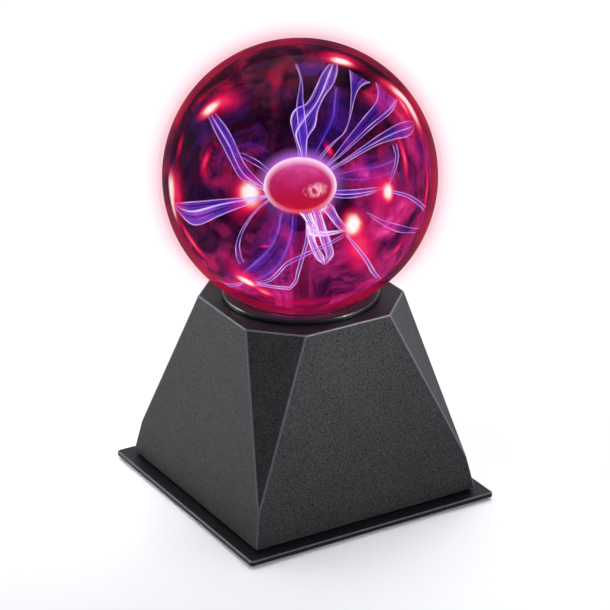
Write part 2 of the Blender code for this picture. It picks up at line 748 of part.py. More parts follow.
def make_transformer(core_finish, spool_finish, copper, potting):
    core = make(
        "transformer_core",
        core_finish,
        (box, (CORE_LENGTH, CORE_LEG, CORE_HEIGHT), (CORE_X, CORE_Y, CORE_Z + CORE_HEIGHT / 2)),
    )
    window = (CORE_LENGTH - 2 * CORE_LEG, 2 * CORE_LEG, CORE_HEIGHT - 2 * CORE_LEG)
    cut(core, (box, window, (CORE_X, CORE_Y, CORE_Z + CORE_HEIGHT / 2)))
    top = COIL_Z + COIL_HEIGHT
    tube = SPOOL_BORE + SPOOL_TUBE_WALL
    profile = [
        (SPOOL_RADIUS, top),
        (SPOOL_RADIUS, top - SPOOL_FLANGE),
        (tube, top - SPOOL_FLANGE),
        (tube, COIL_Z + SPOOL_FLANGE),
        (SPOOL_RADIUS, COIL_Z + SPOOL_FLANGE),
        (SPOOL_RADIUS, COIL_Z),
        (SPOOL_BORE, COIL_Z),
        (SPOOL_BORE, top),
    ]
    spool = turned("secondary_spool", spool_finish, profile, steps=ROUND)
    spool.location = (SECONDARY_X, CORE_Y, 0)
    bottom, end = COIL_Z + SPOOL_FLANGE + GAP, top - SPOOL_FLANGE - GAP
    make_coil("secondary_winding", potting, SECONDARY_X, SECONDARY_RADIUS, tube + GAP, bottom, end)
    make_coil("primary_winding", copper, PRIMARY_X, PRIMARY_RADIUS, SPOOL_BORE, COIL_Z, top)


HEAT_SINK_CENTRE = (0.0210, -0.0215)
HEAT_SINK_LENGTH = 0.0260
HEAT_SINK_BASE = 0.0026
HEAT_SINK_FIN = 0.0060
HEAT_SINK_FIN_WIDTH = 0.0014
HEAT_SINK_FINS = 6
HEAT_SINK_HEIGHT = 0.0220


def make_heat_sink(finish):
    """A comb of upright fins, whose flat back faces +Y."""
    x, y = HEAT_SINK_CENTRE
    left = -HEAT_SINK_LENGTH / 2
    pitch = (HEAT_SINK_LENGTH - HEAT_SINK_FIN_WIDTH) / (HEAT_SINK_FINS - 1)
    comb = [(-left, HEAT_SINK_BASE), (left, HEAT_SINK_BASE)]
    for i in range(HEAT_SINK_FINS):
        start = left + pitch * i
        end = start + HEAT_SINK_FIN_WIDTH
        if i:
            comb.append((start, 0))
        comb += [(start, -HEAT_SINK_FIN), (end, -HEAT_SINK_FIN)]
        if i < HEAT_SINK_FINS - 1:
            comb.append((end, 0))
    place = Matrix.Translation((x, y, PART_Z + HEAT_SINK_HEIGHT / 2))
    sink = add_object("heat_sink", outline_mesh("heat_sink", comb, HEAT_SINK_HEIGHT, place), finish)
    shank_radius = TRANSISTOR_SCREW[0]
    hole_z = transistor_hole_z()
    start, end = (x, y - HEAT_SINK_FIN / 2, hole_z), (x, y + 2 * HEAT_SINK_BASE, hole_z)
    cut(sink, (rod, shank_radius + GAP, start, end, 8))
    return sink


TAB_THICKNESS = 0.0013
TAB_WIDTH = 0.0100
TAB_HEIGHT = 0.0150
CASE_HEIGHT = 0.0090
CASE_THICKNESS = 0.0044
LEG_LENGTH = 0.0040


def transistor_hole_z():
    return PART_Z + LEG_LENGTH + (CASE_HEIGHT + TAB_HEIGHT) / 2


def make_transistor(finish, screw_finish):
    """A tab-mounted power transistor, screwed to the flat back of the heat sink."""
    x, y = HEAT_SINK_CENTRE
    back = y + HEAT_SINK_BASE + GAP
    foot = PART_Z + LEG_LENGTH
    leg_y = back + CASE_THICKNESS / 2
    transistor = make(
        "power_transistor",
        finish,
        (box, (TAB_WIDTH, CASE_THICKNESS, CASE_HEIGHT), (x, leg_y, foot + CASE_HEIGHT / 2)),
    )
    tab = (TAB_WIDTH * 0.96, TAB_THICKNESS, TAB_HEIGHT)
    join(transistor, (box, tab, (x, back + TAB_THICKNESS / 2, foot + TAB_HEIGHT / 2)))
    leg = (0.0008, 0.0006, LEG_LENGTH * 1.5)
    join(
        transistor,
        *[(box, leg, (x + 0.00254 * i, leg_y, PART_Z + leg[2] / 2)) for i in (-1, 0, 1)],
    )
    hole_z = transistor_hole_z()
    hole = TRANSISTOR_SCREW[0] + GAP
    cut(transistor, (rod, hole, (x, back - 0.001, hole_z), (x, back + 2 * TAB_THICKNESS, hole_z), 8))
    head_seat = (x, back + TAB_THICKNESS + GAP, hole_z)
    screw("transistor_screw", screw_finish, TRANSISTOR_SCREW, head_seat, (0, -1, 0))


def make_capacitor_can(finish):
    radius, height, groove = 0.0050, 0.0200, 0.0004
    x, y = 0.0320, 0.0100
    top, bottom = PART_Z + height, PART_Z
    profile = [
        (0, top),
        (radius - groove, top),
        (radius, top - groove),
        (radius, bottom + 5 * groove),
        (radius - groove, bottom + 4 * groove),
        (radius, bottom + 3 * groove),
        (radius, bottom),
        (0, bottom),
    ]
    can = turned("filter_capacitor", finish, profile, steps=ROUND, ring=False)
    can.location = (x, y, 0)


def make_film_capacitor(finish):
    size = (0.0180, 0.0060, 0.0110)
    centre = (0.0160, 0.0140, PART_Z + size[2] / 2)
    chamfer(make("film_capacitor", finish, (box, size, centre)), 0.0008)


def make_chip(finish):
    length, width, height, stand = 0.0096, 0.0064, 0.0033, 0.0006
    x, y = 0.0130, -0.0020
    chip = make(
        "timing_chip", finish, (box, (length, width, height), (x, y, PART_Z + stand + height / 2))
    )
    leg = (0.0006, 0.0009, stand + height / 2)
    places = [(x + 0.00254 * (i - 1.5), y + side * width / 2) for i in range(4) for side in (-1, 1)]
    join(chip, *[(box, leg, (px, py, PART_Z + leg[2] / 2)) for px, py in places])


def make_microphone(finish):
    """The capsule that hears the room in the sound-controlled mode."""
    radius, height, rim = 0.0048, 0.0052, 0.0006
    x, y = -0.0290, 0.0130
    top = PART_Z + height
    profile = [
        (0, top - rim),
        (radius * 0.6, top - rim),
        (radius * 0.6, top),
        (radius, top),
        (radius, PART_Z),
        (0, PART_Z),
    ]
    capsule = turned("microphone", finish, profile, steps=ROUND, ring=False)
    capsule.location = (x, y, 0)


def make_axial(name, finish, body_radius, body_length, x, y):
    """A resistor or a diode lying on the board along X, on its two bent leads."""
    lead_radius, reach = 0.00035, 0.0016
    axis_z = PART_Z + body_radius + GAP
    half, end = body_length / 2, body_length / 2 + reach
    body = make(name, finish, (rod, body_radius, (x - half, y, axis_z), (x + half, y, axis_z), 10))
    join(body, (rod, lead_radius, (x - end, y, axis_z), (x + end, y, axis_z), 6))
    top = axis_z + lead_radius
    feet = [x + side * (end - lead_radius) for side in (-1, 1)]
    join(body, *[(rod, lead_radius * 1.1, (at, y, top), (at, y, PART_Z), 6) for at in feet])


def make_trimmer(finish):
    """The small turn-to-set resistor for the sound level."""
    side, height, dial = 0.0066, 0.0034, 0.0024
    x, y = -0.0150, 0.0140
    middle, top = PART_Z + height / 2, PART_Z + height + 0.0010
    trimmer = make("sound_level_trimmer", finish, (box, (side, side, height), (x, y, middle)))
    join(trimmer, (rod, dial, (x, y, middle), (x, y, top), 12))
    cut(trimmer, (box, (1.5 * dial, 0.0006, 0.0012), (x, y, top)))


HEADER_X = -0.0010
HEADER_Y = 0.0175
HEADER_SIZE = (0.0120, 0.0050, 0.0060)
HEADER_PITCH = 0.0026


def make_header(finish):
    """The socket where the leads from the switch and the inlet plug into the board."""
    height = HEADER_SIZE[2]
    header = make(
        "lead_header", finish, (box, HEADER_SIZE, (HEADER_X, HEADER_Y, PART_Z + height / 2))
    )
    hole, hole_z = (0.0018, 0.0030, height), PART_Z + height * 0.75
    cut(header, *[(box, hole, (header_pin_x(i), HEADER_Y, hole_z)) for i in range(4)])


def header_pin_x(number):
    return HEADER_X + HEADER_PITCH * (number - 1.5)


# Power inlet


def make_inlet(body_finish, pin_finish, nut_finish):
    front = POCKET_FLOOR_Y + GAP + JACK_FLANGE_THICKNESS
    barrel_end = POCKET_FLOOR_Y - POCKET_WALL - JACK_BARREL_LENGTH
    bore_end = front - JACK_BORE_DEPTH
    # The profile is turned about Z and then laid along Y, so that a height is a distance along Y.
    profile = [
        (JACK_BORE_RADIUS, front),
        (JACK_FLANGE_RADIUS, front),
        (JACK_FLANGE_RADIUS, POCKET_FLOOR_Y + GAP),
        (JACK_BARREL_RADIUS, POCKET_FLOOR_Y + GAP),
        (JACK_BARREL_RADIUS, barrel_end),
        (JACK_PIN_RADIUS + GAP, barrel_end),
        (JACK_PIN_RADIUS + GAP, bore_end),
        (JACK_BORE_RADIUS, bore_end),
    ]
    body = turned("inlet_body", body_finish, profile, steps=ROUND)
    tag = (JACK_BARREL_RADIUS * 0.55, 0.0006, 0.0070)
    tag_place = (0, -JACK_TAG_OFFSET, barrel_end - JACK_TAIL + tag[2] / 2)
    cut(body, (box, [side + 2 * GAP for side in tag], tag_place))
    sleeve = make("inlet_sleeve_tag", pin_finish, (box, tag, tag_place))
    pin_tip = front - JACK_PIN_SETBACK
    pin = make(
        "inlet_pin",
        pin_finish,
        (rod, JACK_PIN_RADIUS, (0, 0, barrel_end - JACK_TAIL), (0, 0, pin_tip), 12),
    )
    chamfer(pin, JACK_PIN_RADIUS / 3)
    nut_front = POCKET_FLOOR_Y - POCKET_WALL - GAP
    corner_radius = JACK_NUT_ACROSS / 2 / math.cos(math.pi / 6)
    nut = make(
        "inlet_nut",
        nut_finish,
        (rod, corner_radius, (0, 0, nut_front - JACK_NUT_THICKNESS), (0, 0, nut_front), 6),
    )
    start, end = nut_front - 2 * JACK_NUT_THICKNESS, nut_front + JACK_NUT_THICKNESS
    cut(nut, (rod, JACK_BARREL_RADIUS + GAP, (0, 0, start), (0, 0, end)))
    for obj in (body, sleeve, pin, nut):
        obj.location = (JACK_X, 0, JACK_Z)
        obj.rotation_euler = (math.radians(-90), 0, 0)


# Rocker switch. Its frame has +Z out of the back wall, +Y up the wall and +X towards -X of the object.


def switch_frame():
    z = RIM_Z + SWITCH_RISE
    frame = bpy.data.objects.new("switch_frame", None)
    bpy.data.collections[MODEL].objects.link(frame)
    frame.location = (SWITCH_X, wall_half(z), z)
    frame.rotation_euler = (math.pi / 2 - WALL_ANGLE, 0, math.pi)
    return frame


def make_switch(housing, case_finish, rocker_finish, terminal_finish):
    frame = switch_frame()
    opening = (CASE_WIDTH + 2 * GAP, CASE_LENGTH + 2 * GAP, 4 * WALL)
    window = add_helper("switch_window", mesh_of("switch_window", [(box, opening, (0, 0, 0))]), frame)
    combine(housing, "DIFFERENCE", window)
    case = make(
        "switch_case",
        case_finish,
        (box, (BEZEL_WIDTH, BEZEL_LENGTH, BEZEL_THICKNESS), (0, 0, GAP + BEZEL_THICKNESS / 2)),
        parent=frame,
    )
    chamfer(case, BEZEL_THICKNESS / 3)
    front = GAP + BEZEL_THICKNESS
    depth = CASE_DEPTH + BEZEL_THICKNESS / 2
    join(case, (box, (CASE_WIDTH, CASE_LENGTH, depth), (0, 0, depth / 2 - CASE_DEPTH)))
    ear = (CASE_WIDTH + 0.0016, CASE_LENGTH / 3, 0.0020)
    ear_z = -WALL - GAP - ear[2] / 2
    join(case, (box, ear, (0, 0, ear_z)))
    well_height = front + WELL_DEPTH + BEZEL_THICKNESS
    cut(case, (box, (WELL_WIDTH, WELL_LENGTH, well_height), (0, 0, well_height / 2 - WELL_DEPTH)))
    pin_hole = PIVOT_RADIUS + RUNNING_GAP
    hole_end = CASE_WIDTH / 2 - 0.0003
    cut(case, (rod, pin_hole, (-hole_end, 0, -PIVOT_DEPTH), (hole_end, 0, -PIVOT_DEPTH), 12))
    floor = -WELL_DEPTH - 2 * GAP
    blade = (TERMINAL_WIDTH, TERMINAL_THICKNESS, CASE_DEPTH + floor + TERMINAL_LENGTH)
    blade_z = floor - 2 * GAP - blade[2] / 2
    places = {"on": TERMINAL_PITCH, "common": 0, "sound": -TERMINAL_PITCH}
    slot = [side + 2 * GAP for side in blade]
    cut(case, *[(box, slot, (0, y, blade_z)) for y in places.values()])
    for name, y in places.items():
        blade_shape = (box, blade, (0, y, blade_z))
        make(f"switch_terminal_{name}", terminal_finish, blade_shape, parent=frame)
    rocker = add_object("switch_rocker", rocker_mesh(), rocker_finish, frame)
    rocker.location = (0, 0, -PIVOT_DEPTH)
    rocker.rotation_euler = (math.radians(ROCKER_ANGLE), 0, 0)
    pin_end = hole_end - GAP
    join(rocker, (rod, PIVOT_RADIUS, (-pin_end, 0, 0), (pin_end, 0, 0), 12))
    return frame, places, blade_z - blade[2] / 2


def rocker_mesh():
    """The rocker's side outline, about its pivot, given its width. Its two ends stand up and its top is
    dished. Inside the well it keeps within a circle that clears both ends of the well."""
    end = WELL_LENGTH / 2 - 0.0012
    hip = WELL_LENGTH / 2 - 0.0004
    count = 6
    top = []
    for i in range(count + 1):
        y = end - 2 * end * i / count
        top.append((y, ROCKER_TOP - ROCKER_DISH * (1 - (y / end) ** 2)))
    belly, keel = 0.75 * WELL_LENGTH / 2, 0.3 * WELL_LENGTH / 2
    under = [(-hip, 0.0010), (-belly, -0.0020), (-keel, -0.0036), (keel, -0.0036), (belly, -0.0020)]
    points = [*top, *under, (hip, 0.0010)]
    upright = Matrix(((0, 0, 1, 0), (1, 0, 0, 0), (0, 1, 0, 0), (0, 0, 0, 1)))
    return outline_mesh("switch_rocker", points, ROCKER_WIDTH, upright)


# Leads


def make_leads(finishes, frame, places, terminal_end):
    """The four low-voltage leads."""
    bpy.context.view_layer.update()
    reach = 0.0040
    pin_z = PART_Z + HEADER_SIZE[2] * 0.55

    def terminal(name, out=0.0):
        point = (0, places[name], terminal_end - LEAD_RADIUS - GAP - out)
        return frame.matrix_world @ Vector(point)

    def header(number, up=0.0):
        return Vector((header_pin_x(number), HEADER_Y, pin_z + up))

    tail_y = POCKET_FLOOR_Y - POCKET_WALL - JACK_BARREL_LENGTH - JACK_TAIL - LEAD_RADIUS - GAP
    pin_tail = Vector((JACK_X, tail_y, JACK_Z))
    tag_tail = Vector((JACK_X, tail_y, JACK_Z + JACK_TAG_OFFSET))
    back = Vector((0, -reach, 0))
    common, on, sound = (terminal(name, reach) for name in ("common", "on", "sound"))
    routes = {
        "inlet_live_lead": [
            pin_tail,
            pin_tail + back,
            (pin_tail + back).lerp(common, 0.3) + Vector((0, -0.003, 0.003)),
            (pin_tail + back).lerp(common, 0.7) + Vector((0, -0.003, 0.001)),
            common,
            terminal("common"),
        ],
        "inlet_ground_lead": [
            tag_tail,
            tag_tail + back,
            (tag_tail + back).lerp(header(0, 0.012), 0.4) + Vector((0, -0.003, 0.006)),
            header(0, 0.012),
            header(0, reach),
            header(0),
        ],
        "switch_on_lead": [
            terminal("on"),
            on,
            on.lerp(header(2, 0.012), 0.4) + Vector((0, -0.002, 0.005)),
            header(2, 0.012),
            header(2, reach),
            header(2),
        ],
        "switch_sound_lead": [
            terminal("sound"),
            sound,
            sound.lerp(header(3, 0.008), 0.4) + Vector((0, 0, 0.001)),
            header(3, 0.008),
            header(3, reach),
            header(3),
        ],
    }
    for name, points in routes.items():
        wire(name, finishes[name], smooth_route(points, 4), LEAD_RADIUS)


def make_high_voltage_lead(finish):
    """The lead from the secondary winding, through the neck cap and the stem, to the contact spring."""
    side = CORE_Y + SECONDARY_RADIUS + HV_LEAD_RADIUS + GAP
    start = Vector((SECONDARY_X, side, COIL_Z + COIL_HEIGHT / 2))
    over = Vector((SECONDARY_X, side + HV_LEAD_RADIUS, CORE_Z + CORE_HEIGHT))
    cap = NECK_END - GAP - NECK_CAP_WALL
    bend = smooth_route(
        [
            start,
            start + Vector((0.001, 0.0016, 0.004)),
            over + Vector((0.002, 0.001, 0.006)),
            Vector((0, 0, cap - 0.010)),
            Vector((0, 0, cap - 0.002)),
        ],
        4,
    )
    end = Vector((0, 0, SPRING_FOOT_Z - SPRING_WIRE - GAP))
    wire("high_voltage_lead", finish, [*bend, end], HV_LEAD_RADIUS)


def main():
    clear_scene()
    housing_black = material("textured_black_abs", (0.040, 0.041, 0.044), 0.62)
    plate_black = material("black_abs", (0.030, 0.031, 0.034), 0.50)
    gloss_black = material("gloss_black_abs", (0.015, 0.015, 0.018), 0.16)
    rubber = material("black_rubber", (0.025, 0.025, 0.026), 0.85)
    silicone = material("dark_red_silicone", (0.120, 0.010, 0.020), 0.60)
    glass = material("clear_glass", (0.900, 0.880, 0.900), 0.03)
    coating = material("red_conductive_coating", (0.550, 0.030, 0.080), 0.35)
    steel = material("zinc_plated_steel", (0.620, 0.630, 0.640), 0.32, 1.0)
    brass = material("nickel_plated_brass", (0.720, 0.690, 0.610), 0.28, 1.0)
    aluminium = material("anodised_aluminium", (0.300, 0.310, 0.320), 0.45, 1.0)
    board_green = material("solder_masked_board", (0.015, 0.120, 0.050), 0.40)
    ferrite = material("ferrite", (0.050, 0.050, 0.055), 0.70)
    copper = material("enamelled_copper", (0.550, 0.200, 0.070), 0.35, 1.0)
    potting = material("varnished_winding", (0.300, 0.110, 0.040), 0.30)
    white_nylon = material("white_nylon", (0.750, 0.740, 0.700), 0.50)
    blue_sleeve = material("blue_pvc_sleeve", (0.020, 0.080, 0.350), 0.35)
    red_epoxy = material("red_epoxy", (0.480, 0.060, 0.030), 0.40)
    black_epoxy = material("black_epoxy", (0.020, 0.020, 0.022), 0.55)
    tan_lacquer = material("tan_lacquer", (0.620, 0.460, 0.280), 0.50)
    lead_colours = {
        "inlet_live_lead": (0.550, 0.020, 0.020),
        "inlet_ground_lead": (0.020, 0.020, 0.020),
        "switch_on_lead": (0.700, 0.480, 0.020),
        "switch_sound_lead": (0.700, 0.700, 0.680),
        "high_voltage_lead": (0.600, 0.060, 0.040),
    }
    finishes = {name: material(f"{name}_pvc", colour, 0.45) for name, colour in lead_colours.items()}

    housing = make_housing(housing_black)
    make_base(plate_black)
    make_feet(rubber)
    make_housing_screws(steel)
    make_collar(gloss_black, steel)
    make_gasket(silicone)
    make_globe(glass)
    make_electrode(glass, coating, steel)
    make_stem(glass)
    make_neck_cap(white_nylon)
    make_board(board_green, steel)
    make_transformer(ferrite, white_nylon, copper, potting)
    make_heat_sink(aluminium)
    make_transistor(black_epoxy, steel)
    make_capacitor_can(blue_sleeve)
    make_film_capacitor(red_epoxy)
    make_chip(black_epoxy)
    make_microphone(aluminium)
    make_axial("current_resistor", tan_lacquer, 0.0012, 0.0062, 0.0160, -0.0110)
    make_axial("gate_resistor", tan_lacquer, 0.0012, 0.0062, 0.0160, -0.0145)
    make_axial("timing_resistor", tan_lacquer, 0.0009, 0.0040, 0.0240, 0.0000)
    make_axial("clamp_diode", black_epoxy, 0.0014, 0.0046, 0.0280, -0.0060)
    make_trimmer(white_nylon)
    make_header(white_nylon)
    make_inlet(plate_black, brass, steel)
    frame, places, terminal_end = make_switch(housing, plate_black, gloss_black, brass)
    make_leads(finishes, frame, places, terminal_end)
    make_high_voltage_lead(finishes["high_voltage_lead"])


main()
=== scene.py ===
import math
import random

import bmesh
import bpy
from mathutils import Matrix, Vector


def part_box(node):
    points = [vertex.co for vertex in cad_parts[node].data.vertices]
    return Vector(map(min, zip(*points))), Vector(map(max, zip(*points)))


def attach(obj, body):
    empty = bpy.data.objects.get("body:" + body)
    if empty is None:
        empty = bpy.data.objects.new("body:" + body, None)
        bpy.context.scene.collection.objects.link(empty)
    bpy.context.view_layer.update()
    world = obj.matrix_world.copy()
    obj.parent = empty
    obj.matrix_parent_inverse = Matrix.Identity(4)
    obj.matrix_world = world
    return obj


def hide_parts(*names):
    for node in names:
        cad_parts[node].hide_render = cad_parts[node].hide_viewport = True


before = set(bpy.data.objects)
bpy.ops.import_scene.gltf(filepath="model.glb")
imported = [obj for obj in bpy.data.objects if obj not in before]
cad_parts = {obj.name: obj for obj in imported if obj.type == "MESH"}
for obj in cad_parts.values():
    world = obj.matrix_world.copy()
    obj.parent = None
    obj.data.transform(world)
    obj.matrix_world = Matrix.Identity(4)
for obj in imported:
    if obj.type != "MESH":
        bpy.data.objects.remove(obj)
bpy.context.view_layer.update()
print("frame loaded:", len(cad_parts), "nodes")

mm = 0.001
clearance = 0.3 * mm  # between pieces that meet
flatAngle = math.radians(6)  # keeps big flat walls free of shading gradients
smoothAngle = math.radians(28)
roundAngle = math.radians(180)

rimZ, deckZ = (corner.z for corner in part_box("upper_housing"))
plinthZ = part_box("base_plate")[0].z


# helpers for nodes


def linear(hexColour):
    values = []
    for start in (0, 2, 4):
        c = int(hexColour[start : start + 2], 16) / 255
        values.append(c / 12.92 if c <= 0.04045 else ((c + 0.055) / 1.055) ** 2.4)
    return (*values, 1.0)


def lighter(hexColour, factor):
    return "".join(f"{min(255, round(int(hexColour[i:i + 2], 16) * factor)):02x}" for i in (0, 2, 4))


def addNode(tree, kind, inputs=None, **settings):
    node = tree.nodes.new(kind)
    for name, value in settings.items():
        setattr(node, name, value)
    for key, value in (inputs or {}).items():
        if isinstance(value, bpy.types.NodeSocket):
            tree.links.new(value, node.inputs[key])
        else:
            node.inputs[key].default_value = value
    return node


def output(tree, kind, inputs=None, socket=0, **settings):
    return addNode(tree, kind, inputs, **settings).outputs[socket]


def maths(tree, operation, *values, clamp=False):
    return output(tree, "ShaderNodeMath", dict(enumerate(values)), operation=operation, use_clamp=clamp)


def times(tree, first, second, clamp=False):
    return maths(tree, "MULTIPLY", first, second, clamp=clamp)


def scaled(tree, value, factor, offset, clamp=False):
    return maths(tree, "MULTIPLY_ADD", value, factor, offset, clamp=clamp)


def vectors(tree, operation, *values, socket=0):
    return output(tree, "ShaderNodeVectorMath", dict(enumerate(values)), socket, operation=operation)


def noise(tree, vector, scale, detail, rough=0.5, distortion=0.0):
    inputs = {"Scale": scale, "Detail": detail, "Roughness": rough, "Distortion": distortion}
    return output(tree, "ShaderNodeTexNoise", {"Vector": vector, **inputs})


def mixed(tree, factor, first, second, blend="MIX"):
    inputs = {0: factor, 6: first, 7: second}
    return output(tree, "ShaderNodeMix", inputs, 2, data_type="RGBA", blend_type=blend)


def ramp(tree, factor, stops):
    node = addNode(tree, "ShaderNodeValToRGB", {0: factor})
    elements = node.color_ramp.elements
    while len(elements) < len(stops):
        elements.new(0.5)
    for element, (place, colour) in zip(elements, sorted(stops.items())):
        element.position = place
        element.color = linear(colour)
    return node.outputs[0]


def span(tree, value, low, high, first, last):
    inputs = {"Value": value, "From Min": low, "From Max": high, "To Min": first, "To Max": last}
    return output(tree, "ShaderNodeMapRange", inputs)


def objectPoint(tree):
    return output(tree, "ShaderNodeTexCoord", socket="Object")


def objectPlace(tree, scale, location=(0, 0, 0)):
    # object coordinates are metres, so a scale of 1 / size makes one cell that size
    scale = (scale,) * 3 if isinstance(scale, (int, float)) else scale
    inputs = {"Vector": objectPoint(tree), "Scale": scale, "Location": location}
    return output(tree, "ShaderNodeMapping", inputs)


def heightOf(tree, vector):
    return output(tree, "ShaderNodeSeparateXYZ", {0: vector}, 2)


def facingOf(tree):
    # 0 where a surface is seen face on, 1 where it is seen edge on
    return output(tree, "ShaderNodeLayerWeight", {"Blend": 0.5}, "Facing")


def insideOf(tree):
    return output(tree, "ShaderNodeNewGeometry", socket="Backfacing")


def valueOf(tree, attribute):
    return output(tree, "ShaderNodeAttribute", socket="Fac", attribute_name=attribute)


# helpers for finishes


def newMaterial(name):
    made = bpy.data.materials.new(name)
    made.use_nodes = True
    made.node_tree.nodes.clear()
    return made, made.node_tree


def closeMaterial(tree, shader, end="Surface"):
    addNode(tree, "ShaderNodeOutputMaterial", {end: shader})


def lightOver(tree, cover, colour, strength, clear="ffffff"):
    # light that covers a clear surface
    light = output(tree, "ShaderNodeEmission", {"Color": colour, "Strength": strength})
    clear = output(tree, "ShaderNodeBsdfTransparent", {"Color": linear(clear)})
    return output(tree, "ShaderNodeMixShader", {0: cover, 1: clear, 2: light})


def closeLight(made, tree, shader):
    closeMaterial(tree, shader)
    made.cycles.emission_sampling = "NONE"
    return made


def closeShader(made, tree, inputs):
    closeMaterial(tree, output(tree, "ShaderNodeBsdfPrincipled", inputs))
    return made


def relief(tree, height, distance, strength):
    return output(tree, "ShaderNodeBump", {"Height": height, "Distance": distance * mm, "Strength": strength})


def finishedPlastic(name, colour, rough, grain, height, variation=0.2, specular=0.5, coat=0.0):
    # a moulded surface: grain in millimetres is the size of its texture, height is the relief
    made, tree = newMaterial(name)
    fine = objectPlace(tree, 1 / (grain * mm))
    speck = noise(tree, fine, 1.0, 3.0, 0.65)
    broad = noise(tree, fine, 0.035, 2.0)
    tone = scaled(tree, speck, variation * 1.6, 1 - variation * 0.8)
    tone = times(tree, tone, scaled(tree, broad, 0.24, 0.88))
    inputs = {
        "Base Color": mixed(tree, 1.0, linear(colour), tone, "MULTIPLY"),
        "Roughness": scaled(tree, speck, 0.18, rough - 0.09, True),
        "Normal": relief(tree, speck, height, 1.0),
        "Specular IOR Level": times(tree, tone, specular),
        "Coat Weight": coat,
        "Coat Roughness": 0.12,
        "IOR": 1.5,
    }
    return closeShader(made, tree, inputs)


def finishedMetal(name, colour, rough, grain, stretch=(1, 1, 1)):
    # plated or drawn metal: the grain is stretched along the way it was drawn
    made, tree = newMaterial(name)
    lines = noise(tree, objectPlace(tree, tuple(1 / (grain * mm * s) for s in stretch)), 1.0, 4.0)
    inputs = {
        "Base Color": ramp(tree, lines, {0.3: colour, 0.75: lighter(colour, 1.18)}),
        "Roughness": scaled(tree, lines, 0.16, rough - 0.08, True),
        "Metallic": 1.0,
        "Normal": relief(tree, lines, 0.004, 0.6),
    }
    return closeShader(made, tree, inputs)


# helpers for meshes and pieces


def placed(name, data):
    made = bpy.data.objects.new(name, data)
    bpy.context.scene.collection.objects.link(made)
    return made


def meshFrom(bm, name="scratch"):
    mesh = bpy.data.meshes.new(name)
    bm.to_mesh(mesh)
    bm.free()
    return mesh


def registerPiece(mesh, name, finish, nodes=(), angle=smoothAngle, body="housing"):
    if finish:
        mesh.materials.clear()
        mesh.materials.append(finish)
    mesh.shade_smooth()
    mesh.set_sharp_from_angle(angle=angle)
    piece = placed(name, mesh)
    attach(piece, body)
    if nodes:
        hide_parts(*nodes)
    return piece


def pieceFrom(bm, name, finish, nodes=(), angle=smoothAngle):
    bmesh.ops.remove_doubles(bm, verts=bm.verts, dist=1e-6)
    bmesh.ops.recalc_face_normals(bm, faces=bm.faces)
    return registerPiece(meshFrom(bm, name), name, finish, nodes, angle)


def scratchObject(bm, name="scratch"):
    bmesh.ops.recalc_face_normals(bm, faces=bm.faces)
    return placed(name, meshFrom(bm, name))


def evaluatedMesh(obj, *others):
    # the object's mesh with its modifiers applied; the scratch objects then go
    graph = bpy.context.evaluated_depsgraph_get()
    mesh = bpy.data.meshes.new_from_object(obj.evaluated_get(graph))
    for scratch in (obj, *others):
        bpy.data.objects.remove(scratch)
    return mesh


def carve(body, cutters, operation="DIFFERENCE"):
    # Booleans in turn, each with its own scratch object
    for cutter in cutters:
        modifier = body.modifiers.new("carve", "BOOLEAN")
        modifier.operation = operation
        modifier.solver = "EXACT"
        modifier.object = cutter
    return evaluatedMesh(body, *cutters)


def bevelled(bm, edges, offset, segments):
    return bmesh.ops.bevel(bm, geom=edges, offset=offset, segments=segments, profile=0.5, affect="EDGES")


def boxMesh(size, centre, bevel=0.0, segments=2):
    bm = bmesh.new()
    bmesh.ops.create_cube(bm, size=1, matrix=Matrix.Translation(centre) @ Matrix.Diagonal((*size, 1)))
    if bevel:
        bevelled(bm, list(bm.edges), bevel, segments)
    return bm


def slab(size, centre, turn=Matrix()):
    bm = boxMesh(size, centre)
    bmesh.ops.transform(bm, matrix=turn, verts=bm.verts)
    return scratchObject(bm)


def rod(radius, start, end, steps=48):
    bm = bmesh.new()
    start, end = Vector(start), Vector(end)
    turn = (end - start).to_track_quat("Z", "X").to_matrix().to_4x4()
    bmesh.ops.create_cone(
        bm,
        cap_ends=True,
        segments=steps,
        radius1=radius,
        radius2=radius,
        depth=(end - start).length,
        matrix=Matrix.Translation((start + end) / 2) @ turn,
    )
    return scratchObject(bm)


def turned(profile, steps=96, closed=True, centre=(0, 0)):
    # turns (radius, height) points about a vertical axis; closed joins the last point to the first
    bm = bmesh.new()
    rings = []
    for radius, height in profile:
        if radius < 1e-7:
            rings.append([bm.verts.new((*centre, height))] * steps)
            continue
        ring = []
        for i in range(steps):
            a = 2 * math.pi * i / steps
            x, y = centre[0] + radius * math.cos(a), centre[1] + radius * math.sin(a)
            ring.append(bm.verts.new((x, y, height)))
        rings.append(ring)
    pairs = list(zip(rings, rings[1:]))
    if closed:
        pairs.append((rings[-1], rings[0]))
    for upper, lower in pairs:
        for i in range(steps):
            j = (i + 1) % steps
            corners = []
            for vert in (upper[i], lower[i], lower[j], upper[j]):
                if vert not in corners:
                    corners.append(vert)
            if len(corners) > 2:
                bm.faces.new(corners)
    return bm


def arcPoints(centreR, centreZ, radius, start, end, count, height=None):
    # angles in degrees from straight up, towards the outside
    height = radius if height is None else height
    points = []
    for i in range(count + 1):
        a = math.radians(start + (end - start) * i / count)
        points.append((centreR + radius * math.sin(a), centreZ + height * math.cos(a)))
    return points


def corners(half):
    return [(-half, -half), (half, -half), (half, half), (-half, half)]


def uprightEdges(bm):
    return [e for e in bm.edges if abs(e.verts[0].co.z - e.verts[1].co.z) > mm]


# the camera, the stage and the lights

